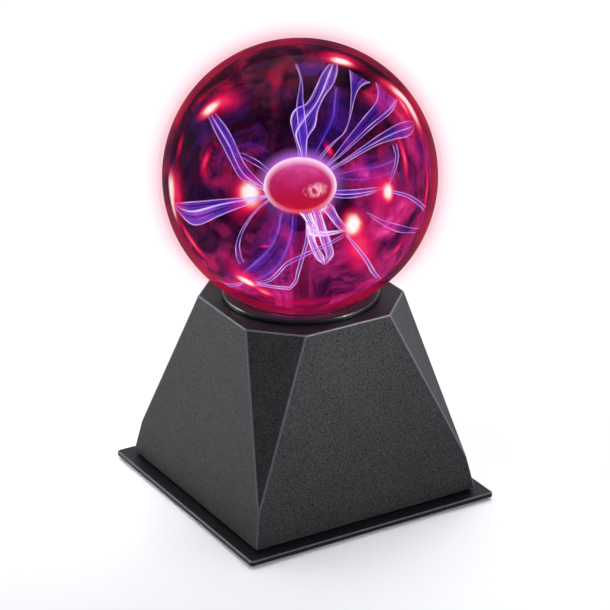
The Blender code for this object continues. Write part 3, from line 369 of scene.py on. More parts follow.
cameraSetup = {
    "place": (-0.79109, -1.34525, 0.80854),
    "right": (0.85983, -0.51054, -0.00627),
    "up": (0.21379, 0.34885, 0.91247),
    "back": (-0.46366, -0.78591, 0.40910),
    "lens": 179.86,
}
camera = placed("camera", bpy.data.cameras.new("camera"))
camera.data.lens = cameraSetup["lens"]
camera.data.sensor_width = 36
camera.data.clip_start, camera.data.clip_end = 0.05, 20
axes = Matrix([cameraSetup["right"], cameraSetup["up"], cameraSetup["back"]]).transposed()
camera.matrix_world = Matrix.Translation(cameraSetup["place"]) @ axes.to_4x4()

scene = bpy.context.scene
scene.camera = camera
scene.view_settings.view_transform = "Standard"
scene.cycles.transparent_max_bounces = 40

floorFinish, floorTree = newMaterial("paleStudioFloor")
closeShader(floorFinish, floorTree, {"Base Color": linear("f6f6f7"), "Roughness": 0.9})
floorBm = bmesh.new()
bmesh.ops.create_circle(floorBm, cap_ends=True, segments=64, radius=6.0)
floor = placed("floor", meshFrom(floorBm, "floor"))
floor.data.materials.append(floorFinish)
floor.location.z = -0.0002


def studioWorld():
    # the room is bright behind the part and dim on the side the camera looks from
    world = bpy.data.worlds.new("studio")
    world.use_nodes = True
    tree = world.node_tree
    tree.nodes.clear()
    room = output(tree, "ShaderNodeTexCoord", socket="Generated")
    nearSide = vectors(tree, "DOT_PRODUCT", room, (-0.55, -0.83, 0.1), socket="Value")
    dim = span(tree, nearSide, -0.4, 0.6, 0.85, 0.1)
    shed = output(tree, "ShaderNodeBackground", {"Color": linear("f4f6ff"), "Strength": dim})
    seen = output(tree, "ShaderNodeBackground", {"Color": linear("ffffff"), "Strength": 1.0})
    direct = output(tree, "ShaderNodeLightPath", socket="Is Camera Ray")
    blend = output(tree, "ShaderNodeMixShader", {0: direct, 1: shed, 2: seen})
    addNode(tree, "ShaderNodeOutputWorld", {"Surface": blend})
    return world


def softbox(name, place, target, size, power, colour="ffffff", spread=180):
    data = bpy.data.lights.new(name, "AREA")
    data.shape = "RECTANGLE"
    data.size, data.size_y = size
    data.energy = power
    data.color = linear(colour)[:3]
    data.spread = math.radians(spread)
    data.use_shadow = spread == 180  # an accent leaves no shadow line on the floor
    made = placed(name, data)
    made.location = place
    made.rotation_euler = (Vector(target) - Vector(place)).to_track_quat("-Z", "Y").to_euler()
    return made


scene.world = studioWorld()
softbox("overheadBox", (0.3, 0.6, 1.8), (0, 0, 0), (1.8, 1.8), 30)
softbox("leftBackBox", (-1.1, 1.35, 0.5), (0, 0, 0.06), (1.0, 0.8), 3.5)
softbox("rightBox", (1.4, -0.95, 0.5), (0, 0, 0.06), (0.7, 0.8), 4, "f0f2ff")
# two narrow lamps brighten the upper half of the left and front walls
accents = [
    softbox(name, place, target, (0.14, 0.14), power, spread=15)
    for name, place, target, power in (
        ("leftAccent", (-0.5, 0.5, 0.45), (-0.055, 0.0, 0.125), 0.045),
        ("frontAccent", (0.42, -0.58, 0.5), (-0.005, -0.055, 0.125), 0.08),
    )
]
print("camera, floor and lights set")


# finishes

texturedAbs = finishedPlastic("sparkTexturedBlackAbs", "161618", 0.54, 0.8, 0.36, 2.4, 0.42)
edgeHighlightAbs = finishedPlastic("paintedHighlightBlackAbsEdge", "4a4b50", 0.4, 0.9, 0.02, 0.4, 0.6)  # lighter bevels: a painted highlight along every edge, with the edges' own lower roughness
# a slight pink in this black is painted light of the globe for the deck, which the plinth, inlet and switch
# share
satinAbs = finishedPlastic("satinBlackAbs", "131014", 0.36, 0.8, 0.04, 0.8, 0.12)
glossAbs = finishedPlastic("polishedBlackAbs", "0b0b0e", 0.3, 3.0, 0.01, 0.15, 0.45)
footRubber = finishedPlastic("mattBlackRubber", "161617", 0.85, 0.7, 0.05, 0.3, 0.3)
siliconeRed = finishedPlastic("darkRedSilicone", "130812", 0.7, 0.9, 0.004, 0.1, 0.06)
whiteNylon = finishedPlastic("offWhiteNylon", "d9d6cc", 0.5, 1.2, 0.02, 0.08, 0.5)
epoxy = finishedPlastic("mouldedBlackEpoxy", "1d1d1f", 0.6, 0.6, 0.04, 0.4)
tanLacquer = finishedPlastic("tanLacquer", "b98f5c", 0.4, 0.8, 0.02, 0.2)
anodised = finishedMetal("anodisedAluminium", "6f747a", 0.42, 0.3, (1, 1, 12))
zincSteel = finishedMetal("zincPlatedSteel", "b9bcc2", 0.3, 0.25)
nickelBrass = finishedMetal("nickelPlatedBrass", "c9c1a8", 0.25, 0.2, (1, 8, 1))
print("moulded finishes made")

cornerNames = ("front_left", "front_right", "back_right", "back_left")
innerFinishes = (
    (finishedPlastic("greenSolderMask", "12573a", 0.35, 1.6, 0.03, 0.3, 0.5, 0.3), ["driver_board"]),
    (finishedPlastic("pressedFerrite", "35353a", 0.7, 0.5, 0.06, 0.4), ["transformer_core"]),
    (finishedMetal("varnishedWinding", "7a3d1c", 0.3, 0.3, (20, 20, 1)), ["secondary_winding"]),
    (finishedMetal("enamelledCopper", "b4602c", 0.3, 0.5, (20, 20, 1)), ["primary_winding"]),
    (finishedPlastic("bluePvcSleeve", "1c3c8c", 0.3, 2.0, 0.01, 0.1), ["filter_capacitor"]),
    (finishedPlastic("dippedRedEpoxy", "a8301c", 0.3, 1.5, 0.03, 0.15), ["film_capacitor"]),
    (finishedPlastic("highVoltageSleeve", "2c0a16", 0.4, 1.2, 0.02, 0.1), ["high_voltage_lead"]),
    (whiteNylon, ["secondary_spool", "neck_cap", "sound_level_trimmer", "lead_header"]),
    (anodised, ["heat_sink", "microphone"]),
    (epoxy, ["power_transistor", "timing_chip", "clamp_diode"]),
    (tanLacquer, ["current_resistor", "gate_resistor", "timing_resistor"]),
    (zincSteel, ["contact_spring", "transistor_screw", "inlet_nut"]),
    (zincSteel, [f"collar_screw_{i}" for i in (1, 2, 3)]),
    (zincSteel, [f"board_screw_{corner}" for corner in cornerNames]),
    (nickelBrass, ["inlet_sleeve_tag", *[f"switch_terminal_{tag}" for tag in ("on", "common", "sound")]]),
    *(
        (finishedPlastic(f"{name}PvcLead", colour, 0.45, 1.0, 0.02, 0.1), [lead])
        for name, colour, lead in (
            ("red", "a01818", "inlet_live_lead"),
            ("black", "1c1c1c", "inlet_ground_lead"),
            ("yellow", "c99a18", "switch_on_lead"),
            ("white", "d4d4d0", "switch_sound_lead"),
        )
    ),
)
for finish, nodes in innerFinishes:
    for node in nodes:
        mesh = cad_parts[node].data
        mesh.materials.clear()
        mesh.materials.append(finish)
print("inner parts finished")


# the pyramid housing

housing = {
    "side": 143.0 * mm,
    "topSide": 102.0 * mm,
    "topEdge": 54.0 * mm,  # each of the four long edges of the deck
    "facetStart": 18.2 * mm,  # above the rim
    "wall": 2.5 * mm,
    "deck": 3.0 * mm,
    "edge": 0.7 * mm,
    "neckHole": 38.7 * mm,
    "bossInset": 13.5 * mm,
    "bossRadius": 4.2 * mm,
    "bossHeight": 40.0 * mm,
    "bossRoot": 5.0 * mm,  # below the rim, where the block ends it
    "screwBore": 1.7 * mm,
    "screwDepth": 12.0 * mm,
    "pocketRadius": 6.0 * mm,
    "pocketWall": 2.0 * mm,
    "pocketDepth": 9.0 * mm,
    "inletX": -22.0 * mm,
    "inletZ": 30.0 * mm,
    "inletHole": 4.3 * mm,
    "switchX": 22.0 * mm,
    "switchRise": 30.0 * mm,
    "switchHole": (13.6 * mm, 19.6 * mm, 12.0 * mm),
    "overcut": 3.0 * mm,  # how far a cutter runs past the wall
}
slope = (housing["side"] - housing["topSide"]) / 2 / (deckZ - rimZ)
lean = math.atan(slope)
bossPlaces = corners(housing["side"] / 2 - housing["bossInset"])


def wallHalf(z):
    return housing["side"] / 2 - (z - rimZ) * slope


def pyramidBlock(bottom, top, inset):
    # a cube cut by the four walls and the four corner facets, each moved inwards by inset
    facetZ = rimZ + housing["facetStart"]
    facetHalf = wallHalf(facetZ)
    facetLean = (2 * facetHalf - housing["topSide"] / 2 - housing["topEdge"] / 2) / (deckZ - facetZ)
    planes = (
        (Vector((1, 0, slope)), Vector((housing["side"] / 2, 0, rimZ))),
        (Vector((1, 1, facetLean)), Vector((facetHalf, facetHalf, facetZ))),
    )
    side = 2 * housing["side"]
    bm = boxMesh((side, side, top - bottom), (0, 0, (top + bottom) / 2))
    for quarter in range(4):
        turn = Matrix.Rotation(math.radians(90 * quarter), 3, "Z")
        for normal, point in planes:
            outward = turn @ normal.normalized()
            bmesh.ops.bisect_plane(
                bm,
                geom=[*bm.verts, *bm.edges, *bm.faces],
                plane_co=turn @ point - outward * inset,
                plane_no=outward,
                clear_outer=True,
            )
            bmesh.ops.holes_fill(bm, edges=bm.edges)
    bmesh.ops.recalc_face_normals(bm, faces=bm.faces)
    return bm


pocketY = wallHalf(housing["inletZ"]) - housing["pocketDepth"]
switchZ = rimZ + housing["switchRise"]
switchTurn = (
    Matrix.Translation((housing["switchX"], wallHalf(switchZ), switchZ))
    @ Matrix.Rotation(math.pi, 4, "Z")
    @ Matrix.Rotation(math.pi / 2 - lean, 4, "X")
)


def makeHousing():
    outer = pyramidBlock(rimZ, deckZ, 0)
    rounded = bevelled(outer, list(outer.edges), housing["edge"], 3)
    for face in outer.faces:
        face.material_index = 2 if face.normal.z > 0.9 else 0
    for face in rounded["faces"]:
        # the bevel faces carry the painted edge highlight
        face.material_index = 1
    shell = scratchObject(outer)
    for finish in (texturedAbs, edgeHighlightAbs, satinAbs):
        shell.data.materials.append(finish)
    hollow = scratchObject(pyramidBlock(rimZ - housing["wall"], deckZ - housing["deck"], housing["wall"]))
    x, z, far, past = housing["inletX"], housing["inletZ"], housing["side"] / 2, housing["overcut"]
    back = pocketY - housing["pocketWall"]
    root, bossTop = housing["bossRoot"], rimZ + housing["bossHeight"]
    tube = housing["pocketRadius"] + housing["pocketWall"]
    keep = [rod(housing["bossRadius"], (bx, by, rimZ - root), (bx, by, bossTop)) for bx, by in bossPlaces]
    keep.append(rod(tube, (x, back, z), (x, far, z), 72))
    hollow.data = carve(placed("scratch", hollow.data), keep)
    bore, boreTop = housing["screwBore"], rimZ + housing["screwDepth"]
    cutters = [
        hollow,
        rod(housing["neckHole"], (0, 0, deckZ - 3 * past), (0, 0, deckZ + 3 * past), 120),
        rod(housing["pocketRadius"], (x, pocketY, z), (x, far, z), 96),
        rod(housing["inletHole"], (x, back - past, z), (x, far, z)),
        slab(housing["switchHole"], (0, 0, 0), switchTurn),
        *[rod(bore, (bx, by, rimZ - past), (bx, by, boreTop), 24) for bx, by in bossPlaces],
    ]
    mesh = carve(shell, cutters)
    registerPiece(mesh, "upperHousing", None, ["upper_housing"], flatAngle)


makeHousing()
print("housing made")


# the plinth, its feet and its screws

plinth = {
    "side": 158.0 * mm,
    "thickness": 3.2 * mm,
    "corner": 1.6 * mm,
    "edge": 0.7 * mm,
    "reveal": 2.0 * mm,
    "plug": 4.0 * mm,
    "footInset": 11.0 * mm,
    "footRadius": 6.0 * mm,
    "footRecess": 1.3 * mm,
    "footGrip": 1.0 * mm,  # how far the foot runs up into its recess
    "soleEdge": 0.4 * mm,
    "soleGroove": 0.25 * mm,
    "screwHead": 3.2 * mm,
    "screwRecess": 2.6 * mm,
    "ventLength": 26.0 * mm,
    "ventWidth": 2.4 * mm,
    "ventRound": 1.1 * mm,
    "ventPitch": 7.5 * mm,
    "ventCut": 16.0 * mm,
    "vents": 5,
    "boardY": -6.0 * mm,
}
footPlaces = corners(plinth["side"] / 2 - plinth["footInset"])


def makePlinth():
    low, side = plinthZ, plinth["side"]
    top, floorTop = low + plinth["thickness"], rimZ - clearance
    bm = boxMesh((side, side, top - low), (0, 0, (low + top) / 2))
    bevelled(bm, uprightEdges(bm), plinth["corner"], 6)
    level = [e for e in bm.edges if abs(e.verts[0].co.z - e.verts[1].co.z) < 1e-6]
    level = [e for e in level if len(e.link_faces) == 2 and any(abs(f.normal.z) < 0.5 for f in e.link_faces)]
    # the plinth's level bevels carry the painted edge highlight
    for face in bevelled(bm, level, plinth["edge"], 3)["faces"]:
        face.material_index = 1
    body = scratchObject(bm)
    for finish in (satinAbs, edgeHighlightAbs):
        body.data.materials.append(finish)
    plug = housing["side"] - 2 * plinth["reveal"]
    plug = slab((plug, plug, plinth["plug"]), (0, 0, floorTop - plinth["plug"] / 2))
    body = placed("scratch", carve(body, [plug], "UNION"))
    cutters = []
    for x, y in footPlaces:
        recess = low + plinth["footRecess"]
        cutters.append(rod(plinth["footRadius"] + clearance, (x, y, low - mm), (x, y, recess)))
    for x, y in bossPlaces:
        cutters.append(rod(plinth["screwHead"], (x, y, low - mm), (x, y, low + plinth["screwRecess"])))
        cutters.append(rod(housing["screwBore"], (x, y, low - mm), (x, y, floorTop + mm), 24))
    for i in range(plinth["vents"]):
        y = plinth["boardY"] + plinth["ventPitch"] * (i - (plinth["vents"] - 1) / 2)
        bm = boxMesh((plinth["ventLength"], plinth["ventWidth"], plinth["ventCut"]), (0, y, top))
        bevelled(bm, uprightEdges(bm), plinth["ventRound"], 4)
        cutters.append(scratchObject(bm))
    registerPiece(carve(body, cutters), "basePlinth", None, ["base_plate"], flatAngle)


makePlinth()


def geometryTree(name, inputs):
    # a Geometry Nodes tree with named inputs; returns the tree, its input node and each input's identifier
    tree = bpy.data.node_groups.new(name, "GeometryNodeTree")
    tree.interface.new_socket("Geometry", in_out="INPUT", socket_type="NodeSocketGeometry")
    identifiers = {}
    for label, kind in inputs.items():
        identifiers[label] = tree.interface.new_socket(label, in_out="INPUT", socket_type=kind).identifier
    tree.interface.new_socket("Geometry", in_out="OUTPUT", socket_type="NodeSocketGeometry")
    return tree, tree.nodes.new("NodeGroupInput"), identifiers


def closeTree(tree, geometry, finish):
    solid = output(tree, "GeometryNodeRealizeInstances", {0: geometry})
    painted = output(tree, "GeometryNodeSetMaterial", {"Geometry": solid, "Material": finish})
    addNode(tree, "NodeGroupOutput", {0: painted})


def grown(holder, tree, identifiers, values):
    # runs the tree on a scratch holder and returns its result as a plain mesh
    modifier = holder.modifiers.new("grow", "NODES")
    modifier.node_group = tree
    for label, value in values.items():
        modifier[identifiers[label]] = value
    return evaluatedMesh(holder)


def linesHolder(lines):
    # one edge between each two neighbours of a line; a line of one point is a loose point
    bm = bmesh.new()
    for line in lines:
        verts = [bm.verts.new(point) for point in line]
        for a, b in zip(verts, verts[1:]):
            bm.edges.new((a, b))
    return placed("lines", meshFrom(bm, "lines"))


def scatter(name, bm, places, finish, nodes, turn=0.0):
    # one shape copied to every place
    shape = scratchObject(bm, name + "Shape")
    inputs = {"Shape": "NodeSocketObject", "Turn": "NodeSocketFloat"}
    tree, start, identifiers = geometryTree(name + "Copies", inputs)
    copied = output(tree, "GeometryNodeObjectInfo", {"Object": start.outputs["Shape"]}, "Geometry")
    spin = output(tree, "ShaderNodeCombineXYZ", {"Z": start.outputs["Turn"]})
    spin = output(tree, "FunctionNodeEulerToRotation", {0: spin})
    inputs = {"Points": start.outputs[0], "Instance": copied, "Rotation": spin}
    closeTree(tree, output(tree, "GeometryNodeInstanceOnPoints", inputs), finish)
    mesh = grown(linesHolder([[p] for p in places]), tree, identifiers, {"Shape": shape, "Turn": turn})
    bpy.data.objects.remove(shape)
    return registerPiece(mesh, name, finish, nodes)


def footShape():
    # a turned rubber foot with a rounded edge and one shallow groove in its sole
    r, h = plinth["footRadius"], plinthZ + plinth["footGrip"]
    edge, groove = plinth["soleEdge"], plinth["soleGroove"]
    profile = [
        (0, h),
        (r, h),
        *arcPoints(r - edge, edge, edge, 90, 180, 4),
        (r * 0.62, 0),
        (r * 0.58, groove),
        (r * 0.5, groove),
        (r * 0.46, 0),
        (0, 0),
    ]
    return turned(profile, 48, closed=False)


screw = {
    "headRadius": 2.9 * mm,
    "headHeight": 1.9 * mm,
    "headEdge": 0.9 * mm,
    "shank": 1.35 * mm,
    "length": 11.0 * mm,
    "point": 1.2 * mm,
    "recess": (3.2 * mm, 0.75 * mm, 1.6 * mm),
    "rise": 2.3 * mm,  # of the seat above the plinth's foot
}


def screwShape():
    # a pan head with a cross recess, head down at z = 0 and its shank upwards
    radius, height, edge = screw["headRadius"], screw["headHeight"], screw["headEdge"]
    profile = [
        (0, screw["length"]),
        (screw["shank"] * 0.5, screw["length"]),
        (screw["shank"], screw["length"] - screw["point"]),
        (screw["shank"], 0),
        (radius, 0),
        *arcPoints(radius - edge, -height + edge, edge, 90, 180, 5),
        (0, -height),
    ]
    turns = [Matrix.Rotation(math.radians(angle), 4, "Z") for angle in (0, 90)]
    cutters = [slab(screw["recess"], (0, 0, -height), turn) for turn in turns]
    bm = bmesh.new()
    bm.from_mesh(carve(scratchObject(turned(profile, 40, closed=False)), cutters))
    return bm


feet = [f"foot_{corner}" for corner in cornerNames]
scatter("rubberFeet", footShape(), [(x, y, 0) for x, y in footPlaces], footRubber, feet)
seats = [(x, y, plinthZ + screw["rise"]) for x, y in bossPlaces]
screws = [f"housing_screw_{corner}" for corner in cornerNames]
scatter("housingScrews", screwShape(), seats, zincSteel, screws, 0.5)
print("plinth, feet and screws made")


# the collar, the gasket and the glass

globe = {
    "radius": 76.0 * mm,
    "wall": 1.5 * mm,
    "sink": 5.5 * mm,
    "neck": 17.0 * mm,
    "fillet": 6.0 * mm,
    "drop": 28.0 * mm,
    "glowInset": 1.7 * mm,  # how far inside the glass the lit gas starts
    "steps": 144,
}
globeZ = deckZ + globe["radius"] - globe["sink"]
globeCentre = Vector((0, 0, globeZ))
neckEnd = deckZ - globe["drop"]

collar = {
    "radius": 44.5 * mm,
    "height": 3.4 * mm,
    "bead": 1.7 * mm,
    "lip": 0.9 * mm,
    "lipRise": 0.25 * mm,
    "edge": 0.35 * mm,
    "crown": 3.6 * mm,  # from the outside to the top's highest line
    "skirt": 38.4 * mm,
    "skirtDrop": 7.0 * mm,
    "seatTop": 2.0 * mm,
    "seatFoot": -1.0 * mm,
    "gasketWaist": 0.5 * mm,
    "gasket": 1.1 * mm,
    "gasketMargin": 0.4 * mm,
}


def seatPoint(rise, offset):
    radius = globe["radius"] + offset
    return math.sqrt(radius**2 - (globeZ - deckZ - rise) ** 2), deckZ + rise


def makeCollar():
    seat = 2 * clearance + collar["gasket"]
    outer, top, skirtEnd = collar["radius"], deckZ + collar["height"], deckZ - collar["skirtDrop"]
    foot, bead, edge, lip = deckZ + clearance, collar["bead"], collar["edge"], collar["lip"]
    high, low = seatPoint(collar["seatTop"], seat), seatPoint(collar["seatFoot"], seat)
    profile = [
        (high[0] + lip, high[1] + collar["lipRise"]),
        (high[0] + bead, top - lip),
        (outer - collar["crown"], top - edge),
        *arcPoints(outer - bead, top - bead, bead, -35, 90, 12),
        (outer, foot + edge),
        (outer - edge, foot),
        (collar["skirt"], foot),
        (collar["skirt"], skirtEnd),
        (low[0], skirtEnd),
        low,
        high,
    ]
    pieceFrom(turned(profile, 160), "globeCollar", glossAbs, ["globe_collar"])
    margin = collar["gasketMargin"]
    rises = (collar["seatTop"] - margin, collar["gasketWaist"], collar["seatFoot"] + margin)
    profile = [seatPoint(rise, clearance + collar["gasket"]) for rise in rises]
    profile += [seatPoint(rise, clearance) for rise in reversed(rises)]
    pieceFrom(turned(profile, 120), "globeGasket", siliconeRed, ["globe_gasket"])


def globeSide(inset, count):
    # the globe's side from its top to the neck's end, moved inwards by inset
    fillet = globe["fillet"] + inset
    across = globe["neck"] + globe["fillet"]
    below = math.sqrt((globe["radius"] + globe["fillet"]) ** 2 - across**2)
    turn = 180 - math.degrees(math.atan2(across, below))
    ball = arcPoints(0, globeZ, globe["radius"] - inset, 0, turn, count)
    bend = arcPoints(across, globeZ - below, fillet, turn - 180, -90, 8)
    ball[0] = (0, ball[0][1])
    return [*ball, *bend[1:], (globe["neck"] - inset, neckEnd)]


def glassFinish(name, tint, edgeLight, darkEdge, strength, veil=0.0):
    # blown glass: clear face on; where the view runs along the wall it carries the red light of the gas
    made, tree = newMaterial(name)
    facing, front = facingOf(tree), maths(tree, "SUBTRACT", 1.0, insideOf(tree))
    broad = noise(tree, objectPlace(tree, 1 / (38 * mm)), 1.0, 3.0, distortion=0.8)
    patchy = scaled(tree, broad, 3.0, -1.1, True)
    edge = maths(tree, "POWER", scaled(tree, facing, 2.6, -1.35, True), 1.6)
    limb = scaled(tree, facing, 20.0, -14.8, True)
    lit = times(tree, edge, scaled(tree, patchy, 0.55, 0.1))
    lit = maths(tree, "MAXIMUM", times(tree, lit, front), limb)
    foot = span(tree, heightOf(tree, objectPoint(tree)), deckZ, deckZ + 14 * mm, 0.3, 1.0)
    lit = times(tree, times(tree, lit, foot), strength, True)
    tone = mixed(tree, scaled(tree, patchy, -0.9, 1.0), linear(edgeLight), linear(darkEdge))
    body = lightOver(tree, maths(tree, "MAXIMUM", lit, veil), tone, 1.0, tint)
    shine = output(tree, "ShaderNodeBsdfGlossy", {"Color": linear("ffd9e6"), "Roughness": 0.03})
    weight = times(tree, times(tree, output(tree, "ShaderNodeFresnel", {"IOR": 1.4}), front), 0.1)
    return closeLight(made, tree, output(tree, "ShaderNodeMixShader", {0: weight, 1: body, 2: shine}))


def castNoShadow(piece):
    piece.visible_shadow = False


makeCollar()
globeGlass = glassFinish("blownGlobeGlass", "fff6f8", "c41440", "4a0a30", 1.0)
glassPiece = pieceFrom(
    turned([*globeSide(0, 72), *reversed(globeSide(globe["wall"], 72))], globe["steps"], closed=False),
    "glassGlobe",
    globeGlass,
    ["glass_globe"],
    math.radians(40),
)
castNoShadow(glassPiece)
# the accent lamps leave no reflections in the glass
unlit = bpy.data.collections.new("leftOutByAccents")
unlit.objects.link(glassPiece)
unlit.collection_objects[0].light_linking.link_state = "EXCLUDE"
for accent in accents:
    accent.light_linking.receiver_collection = unlit
print("collar and glass made")


# the electrode on its stem

electrode = {
    "radius": 20.2 * mm,
    "half": 15.0 * mm,
    "drop": 5.7 * mm,
    "neckLength": 10.0 * mm,
    "wall": 1.2 * mm,
    "coating": 0.4 * mm,
    "stem": 4.5 * mm,
    "stemWall": 1.3 * mm,
    "stemReach": 7.0 * mm,  # how far the stem runs up into the bulb's neck
    "flareBend": 6.0 * mm,
    "flareHeight": 1.5 * mm,
    "glowDepth": 7.0 * mm,
}
electrodeZ = globeZ - electrode["drop"]
electrodeCentre = Vector((0, 0, electrodeZ))


def electrodeFinish():
    # red lacquer seen through the bulb's glass, with the discharge's light painted into its emission: magenta
    # above, hot red below, and a painted white-pink lit edge
    made, tree = newMaterial("litRedLacquerUnderGlass")
    place = objectPlace(tree, 1 / electrode["half"], (0, 0, -electrodeZ / electrode["half"]))
    height = heightOf(tree, place)
    cloud = noise(tree, place, 1.7, 4.0, 0.6)
    level = maths(tree, "ADD", scaled(tree, height, 0.5, 0.5), scaled(tree, cloud, 0.4, -0.2))
    reds = {0.0: "dc0a1e", 0.2: "d0081e", 0.4: "ae0424", 0.55: "b40832", 0.72: "b01450"}
    colour = ramp(tree, level, {**reds, 0.86: "bc2c74", 1.0: "d050a4"})
    rim = times(tree, scaled(tree, facingOf(tree), 3.4, -1.45, True), scaled(tree, height, 1.3, 0.95, True))
    sheen = mixed(tree, rim, colour, linear("fff0ff"))
    # a painted reflection in the emission colour: the broken pale reflection of the discharge low on the ball
    mirror = electrodeCentre + Vector((-1, -19, 4)) * mm
    away = vectors(tree, "SUBTRACT", objectPoint(tree), tuple(mirror))
    away = vectors(tree, "MULTIPLY", away, (125, 125, 250))
    away = vectors(tree, "LENGTH", away, socket="Value")
    drawn = output(tree, "ShaderNodeMapping", {"Vector": place, "Scale": (1.0, 1.0, 0.4)})
    broken = scaled(tree, noise(tree, drawn, 8.0, 1.0), 4.0, -1.5, True)
    shine = times(tree, times(tree, scaled(tree, away, -1.8, 1.9, True), broken), 0.85)
    inputs = {
        "Base Color": linear("3a0408"),
        "Roughness": 0.25,
        "Emission Color": mixed(tree, shine, sheen, linear("ffc8d4")),
        "Emission Strength": scaled(tree, height, 9.0, 9.4, True),  # the painted glow goes dark down the neck
        "Coat Weight": 0.3,
        "Coat Roughness": 0.1,
        "Specular IOR Level": 0.2,
    }
    made.cycles.emission_sampling = "NONE"
    return closeShader(made, tree, inputs)


def electrodeSide(inset, endRadius, count):
    radius, half = electrode["radius"] - inset, electrode["half"] - inset
    end = 180 - math.degrees(math.asin(endRadius / radius))
    points = arcPoints(0, electrodeZ, radius, 0, end, count, half)
    points[0] = (0, points[0][1])
    return points


def makeElectrode():
    wall, stem = electrode["wall"], electrode["stem"]
    neck = stem + clearance + wall
    neckZ = electrodeZ - electrode["half"] - electrode["neckLength"]
    outer = [*electrodeSide(0, neck, 40), (neck, neckZ)]
    inner = [*electrodeSide(wall, neck - wall, 40), (neck - wall, neckZ)]
    bulb = turned([*outer, *reversed(inner)], closed=False)
    pieceFrom(bulb, "electrodeBulb", electrodeFinish(), ["electrode_bulb"])
    outer, inner = (
        electrodeSide(wall + clearance + depth, 1.5 * neck, 30) for depth in (0, electrode["coating"])
    )
    lacquer = finishedPlastic("redConductiveLacquer", "8c1226", 0.4, 0.8, 0.02, 0.3)
    coating = turned([*outer, *reversed(inner)], 64, closed=False)
    pieceFrom(coating, "electrodeCoating", lacquer, ["electrode_coating"])
    bore, top, r = stem - electrode["stemWall"], neckZ + electrode["stemReach"], electrode["flareBend"]
    flare, foot = globe["neck"] - globe["wall"] - clearance, neckEnd + electrode["flareHeight"]
    bend = arcPoints(stem + r, foot + r, r, -90, -180, 8)
    profile = [(stem, top), *bend, (flare, foot), (flare, neckEnd), (bore, neckEnd), (bore, top)]
    stemGlass = glassFinish("stemGlass", "f4c8dc", "7c2060", "561648", 0.45, 0.32)
    pieceFrom(turned(profile, 64), "electrodeStem", stemGlass, ["electrode_stem"])


def glowShell():
    # the lavender glow round the electrode: only the far half of the shell is lit, so it never veils the ball
    made, tree = newMaterial("electrodeHalo")
    soft = maths(tree, "POWER", maths(tree, "SUBTRACT", 1.0, facingOf(tree)), 3.8)
    soft = times(tree, times(tree, soft, 2.7), insideOf(tree))
    low, high = electrodeZ - electrode["half"], electrodeZ + electrode["half"]
    upper = span(tree, heightOf(tree, objectPoint(tree)), low, high, 0.35, 1.1)
    closeLight(made, tree, lightOver(tree, times(tree, soft, upper, True), linear("c47cff"), 1.2))
    outer = electrodeSide(-electrode["glowDepth"], 1 * mm, 48)
    outer[-1] = (0, outer[-1][1])
    castNoShadow(pieceFrom(turned(outer, closed=False), "electrodeHalo", made, angle=roundAngle))


makeElectrode()
glowShell()
print("electrode made")


# the lit gas behind the glass


def heading(azimuth, elevation):
    a, e = math.radians(azimuth), math.radians(elevation)
    return Vector((math.cos(e) * math.cos(a), math.cos(e) * math.sin(a), math.sin(e)))


# the discharge is laid out on three axes through the globe's centre, all in millimetres:
# across, up and towards, where towards points out over the left end of the front wall
towards = heading(-121, 24)
across = Vector((0, 0, 1)).cross(towards).normalized()
upward = towards.cross(across)
gasRadius = globe["radius"] - globe["glowInset"]


def laid(a, b, c):
    return globeCentre + (across * a + upward * b + towards * c) * mm


def wallDepth(a, b, radius):
    return math.sqrt(max(0.0, (radius / mm) ** 2 - a * a - b * b))


def runningLengths(points):
    lengths = [0.0]
    for a, b in zip(points, points[1:]):
        lengths.append(lengths[-1] + (b - a).length)
    return lengths


def smoothLine(points, count):
    # a curve through the points, cut into equal lengths
    padded = [points[0] * 2 - points[1], *points, points[-1] * 2 - points[-2]]
    dense = []
    for p0, p1, p2, p3 in zip(padded, padded[1:], padded[2:], padded[3:]):
        square, cube = 2 * p0 - 5 * p1 + 4 * p2 - p3, 3 * p1 - p0 - 3 * p2 + p3
        for t in (i / 16 for i in range(16)):
            dense.append(0.5 * (2 * p1 + (p2 - p0) * t + square * t**2 + cube * t**3))
    dense.append(points[-1])
    lengths = runningLengths(dense)
    line, j = [], 0
    for i in range(count + 1):
        want = lengths[-1] * i / count
        while j < len(dense) - 2 and lengths[j + 1] < want:
            j += 1
        gap = lengths[j + 1] - lengths[j]
        line.append(dense[j].lerp(dense[j + 1], (want - lengths[j]) / gap if gap else 0.0))
    return line


